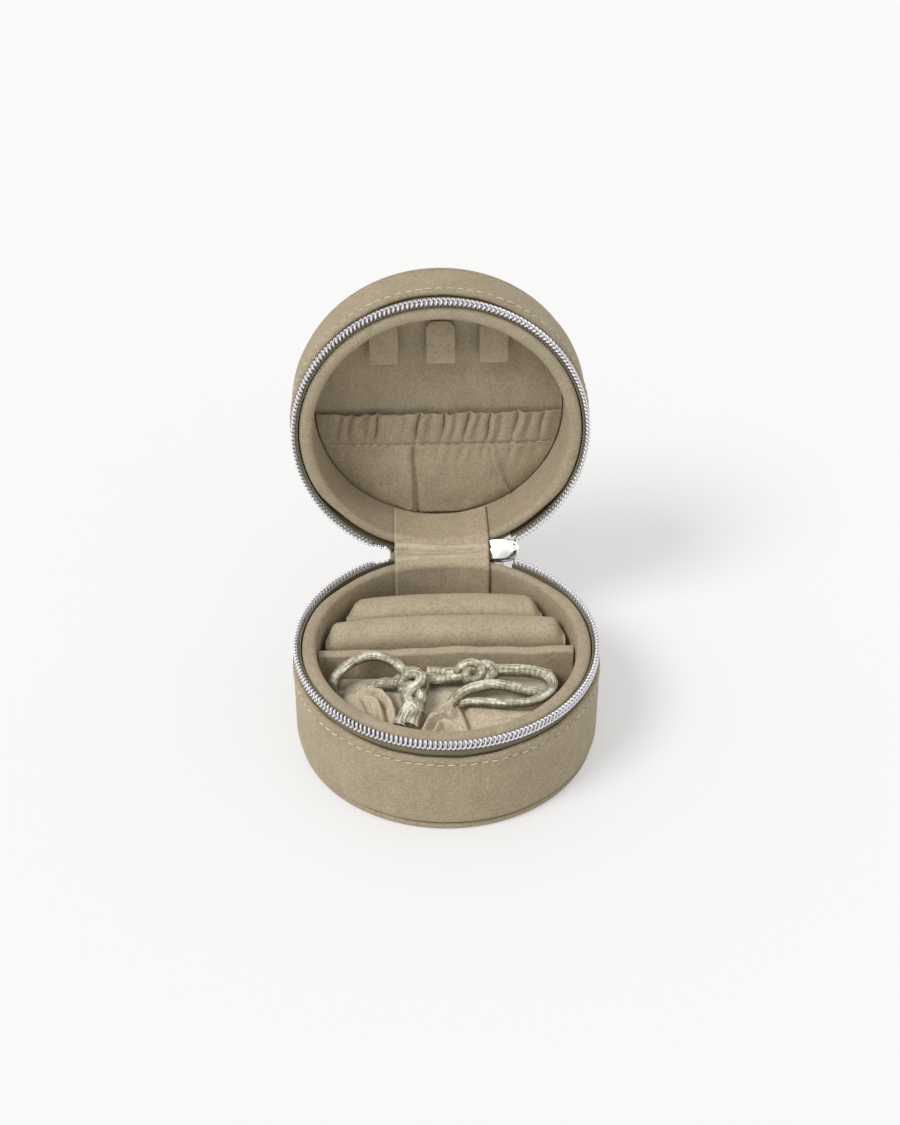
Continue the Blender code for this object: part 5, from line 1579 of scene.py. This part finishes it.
def braided(relief, flat=0.15):
    """The braid's relief, and a cord that lies a little flat."""

    def shape(reach, along, angle):
        wave = TAU * along / PLAIT
        plait = np.sin(wave + 3.0 * angle) * np.sin(wave - 3.0 * angle)
        return reach * (1.0 + flat * np.cos(2.0 * angle)) + relief * plait

    return shape


class CASE_OT_cords(bpy.types.Operator):
    """Braided drawstring loops with their knots and cut tails."""

    bl_idname = "case.cords"
    bl_label = "Drawstrings"

    def execute(self, context):
        sizes = context.scene.case_sizes
        half = sizes.cord / 2

        def laid(name, node, shape, sharp=None):
            points, faces, uv = shape
            return add_piece(name, points, faces, satin(), "pouch", [node], uv, sharp)

        lines, cords, tails, knots = {}, {}, {}, {}
        for name, route, node in (("left_loop", LEFT_LOOP, "pouch_cord_left"),
                                  ("right_loop", RIGHT_LOOP, "pouch_cord_right"),
                                  ("right_strand", RIGHT_STRAND, "pouch_strand_right")):
            lines[name] = smooth_route(below_rim(route), 0.22 * MM)
            cords[name] = laid(f"braided_{name}", node, tube(lines[name], half, 24, braided(sizes.braid)))
        for name, route in TAILS.items():
            line = smooth_route(below_rim(route), 0.2 * MM)
            wide = half * (0.92 + 0.34 * np.linspace(0.0, 1.0, len(line)) ** 2)
            tails[name] = laid(f"cord_tail_{name}", f"pouch_tail_{name}",
                               tube(line, wide, 28, braided(sizes.braid, 0.14)), sharp=60)
        for name, (place, swell, strands) in KNOTS.items():
            parts = []
            for strand in strands:
                line = smooth_route(np.array(strand) * swell * MM, 0.2 * MM) + np.array(below_rim([place])[0])
                parts.append(tube(line, half * 1.12, 28, braided(sizes.braid, 0.06)))
            points, faces = joined([part[:2] for part in parts])
            uv = np.concatenate([part[2] for part in parts])
            knots[name] = laid(f"tied_knot_{name}", f"pouch_knot_{name}", (points, faces, uv))
        for name, length, end, pieces in (
                ("left_loop", 0.068, "knot", [knots["left"], tails["left_a"], tails["left_b"]]),
                ("right_loop", 0.058, "knot", [knots["right"], tails["right_a"], tails["right_b"]]),
                ("right_strand", 0.034, "object", [])):
            line = lines[name]
        return {"FINISHED"}


class CASE_PT_panel(bpy.types.Panel):
    """Lists the pieces and their sizes."""

    bl_idname = "CASE_PT_panel"
    bl_label = "Jewelry case"
    bl_space_type = "VIEW_3D"
    bl_region_type = "UI"
    bl_category = "Jewelry case"

    def draw(self, context):
        for operator in OPERATORS:
            self.layout.operator(operator.bl_idname)
        for group in (context.scene.case_sizes, context.scene.case_colours):
            for name in group.__annotations__:
                self.layout.prop(group, name)


OPERATORS = (
    CASE_OT_stage, CASE_OT_cords, CASE_OT_walls, CASE_OT_collars, CASE_OT_zip, CASE_OT_hinge, CASE_OT_base_inside,
    CASE_OT_lid_inside, CASE_OT_pouch, CASE_OT_kept_nodes,
)


def register():
    for group in (CaseSizes, CaseColours, *OPERATORS, CASE_PT_panel):
        bpy.utils.register_class(group)
    bpy.types.Scene.case_sizes = bpy.props.PointerProperty(type=CaseSizes)
    bpy.types.Scene.case_colours = bpy.props.PointerProperty(type=CaseColours)


def unregister():
    del bpy.types.Scene.case_colours
    del bpy.types.Scene.case_sizes
    for group in (CASE_PT_panel, *reversed(OPERATORS), CaseColours, CaseSizes):
        bpy.utils.unregister_class(group)


def main():
    register()
    bpy.ops.case.stage()
    bpy.ops.case.cords()
    bpy.ops.case.walls()
    bpy.ops.case.collars()
    bpy.ops.case.zip()
    bpy.ops.case.hinge()
    bpy.ops.case.base_inside()
    bpy.ops.case.lid_inside()
    bpy.ops.case.pouch()
    bpy.ops.case.kept_nodes()


if __name__ == "__main__":
    main()
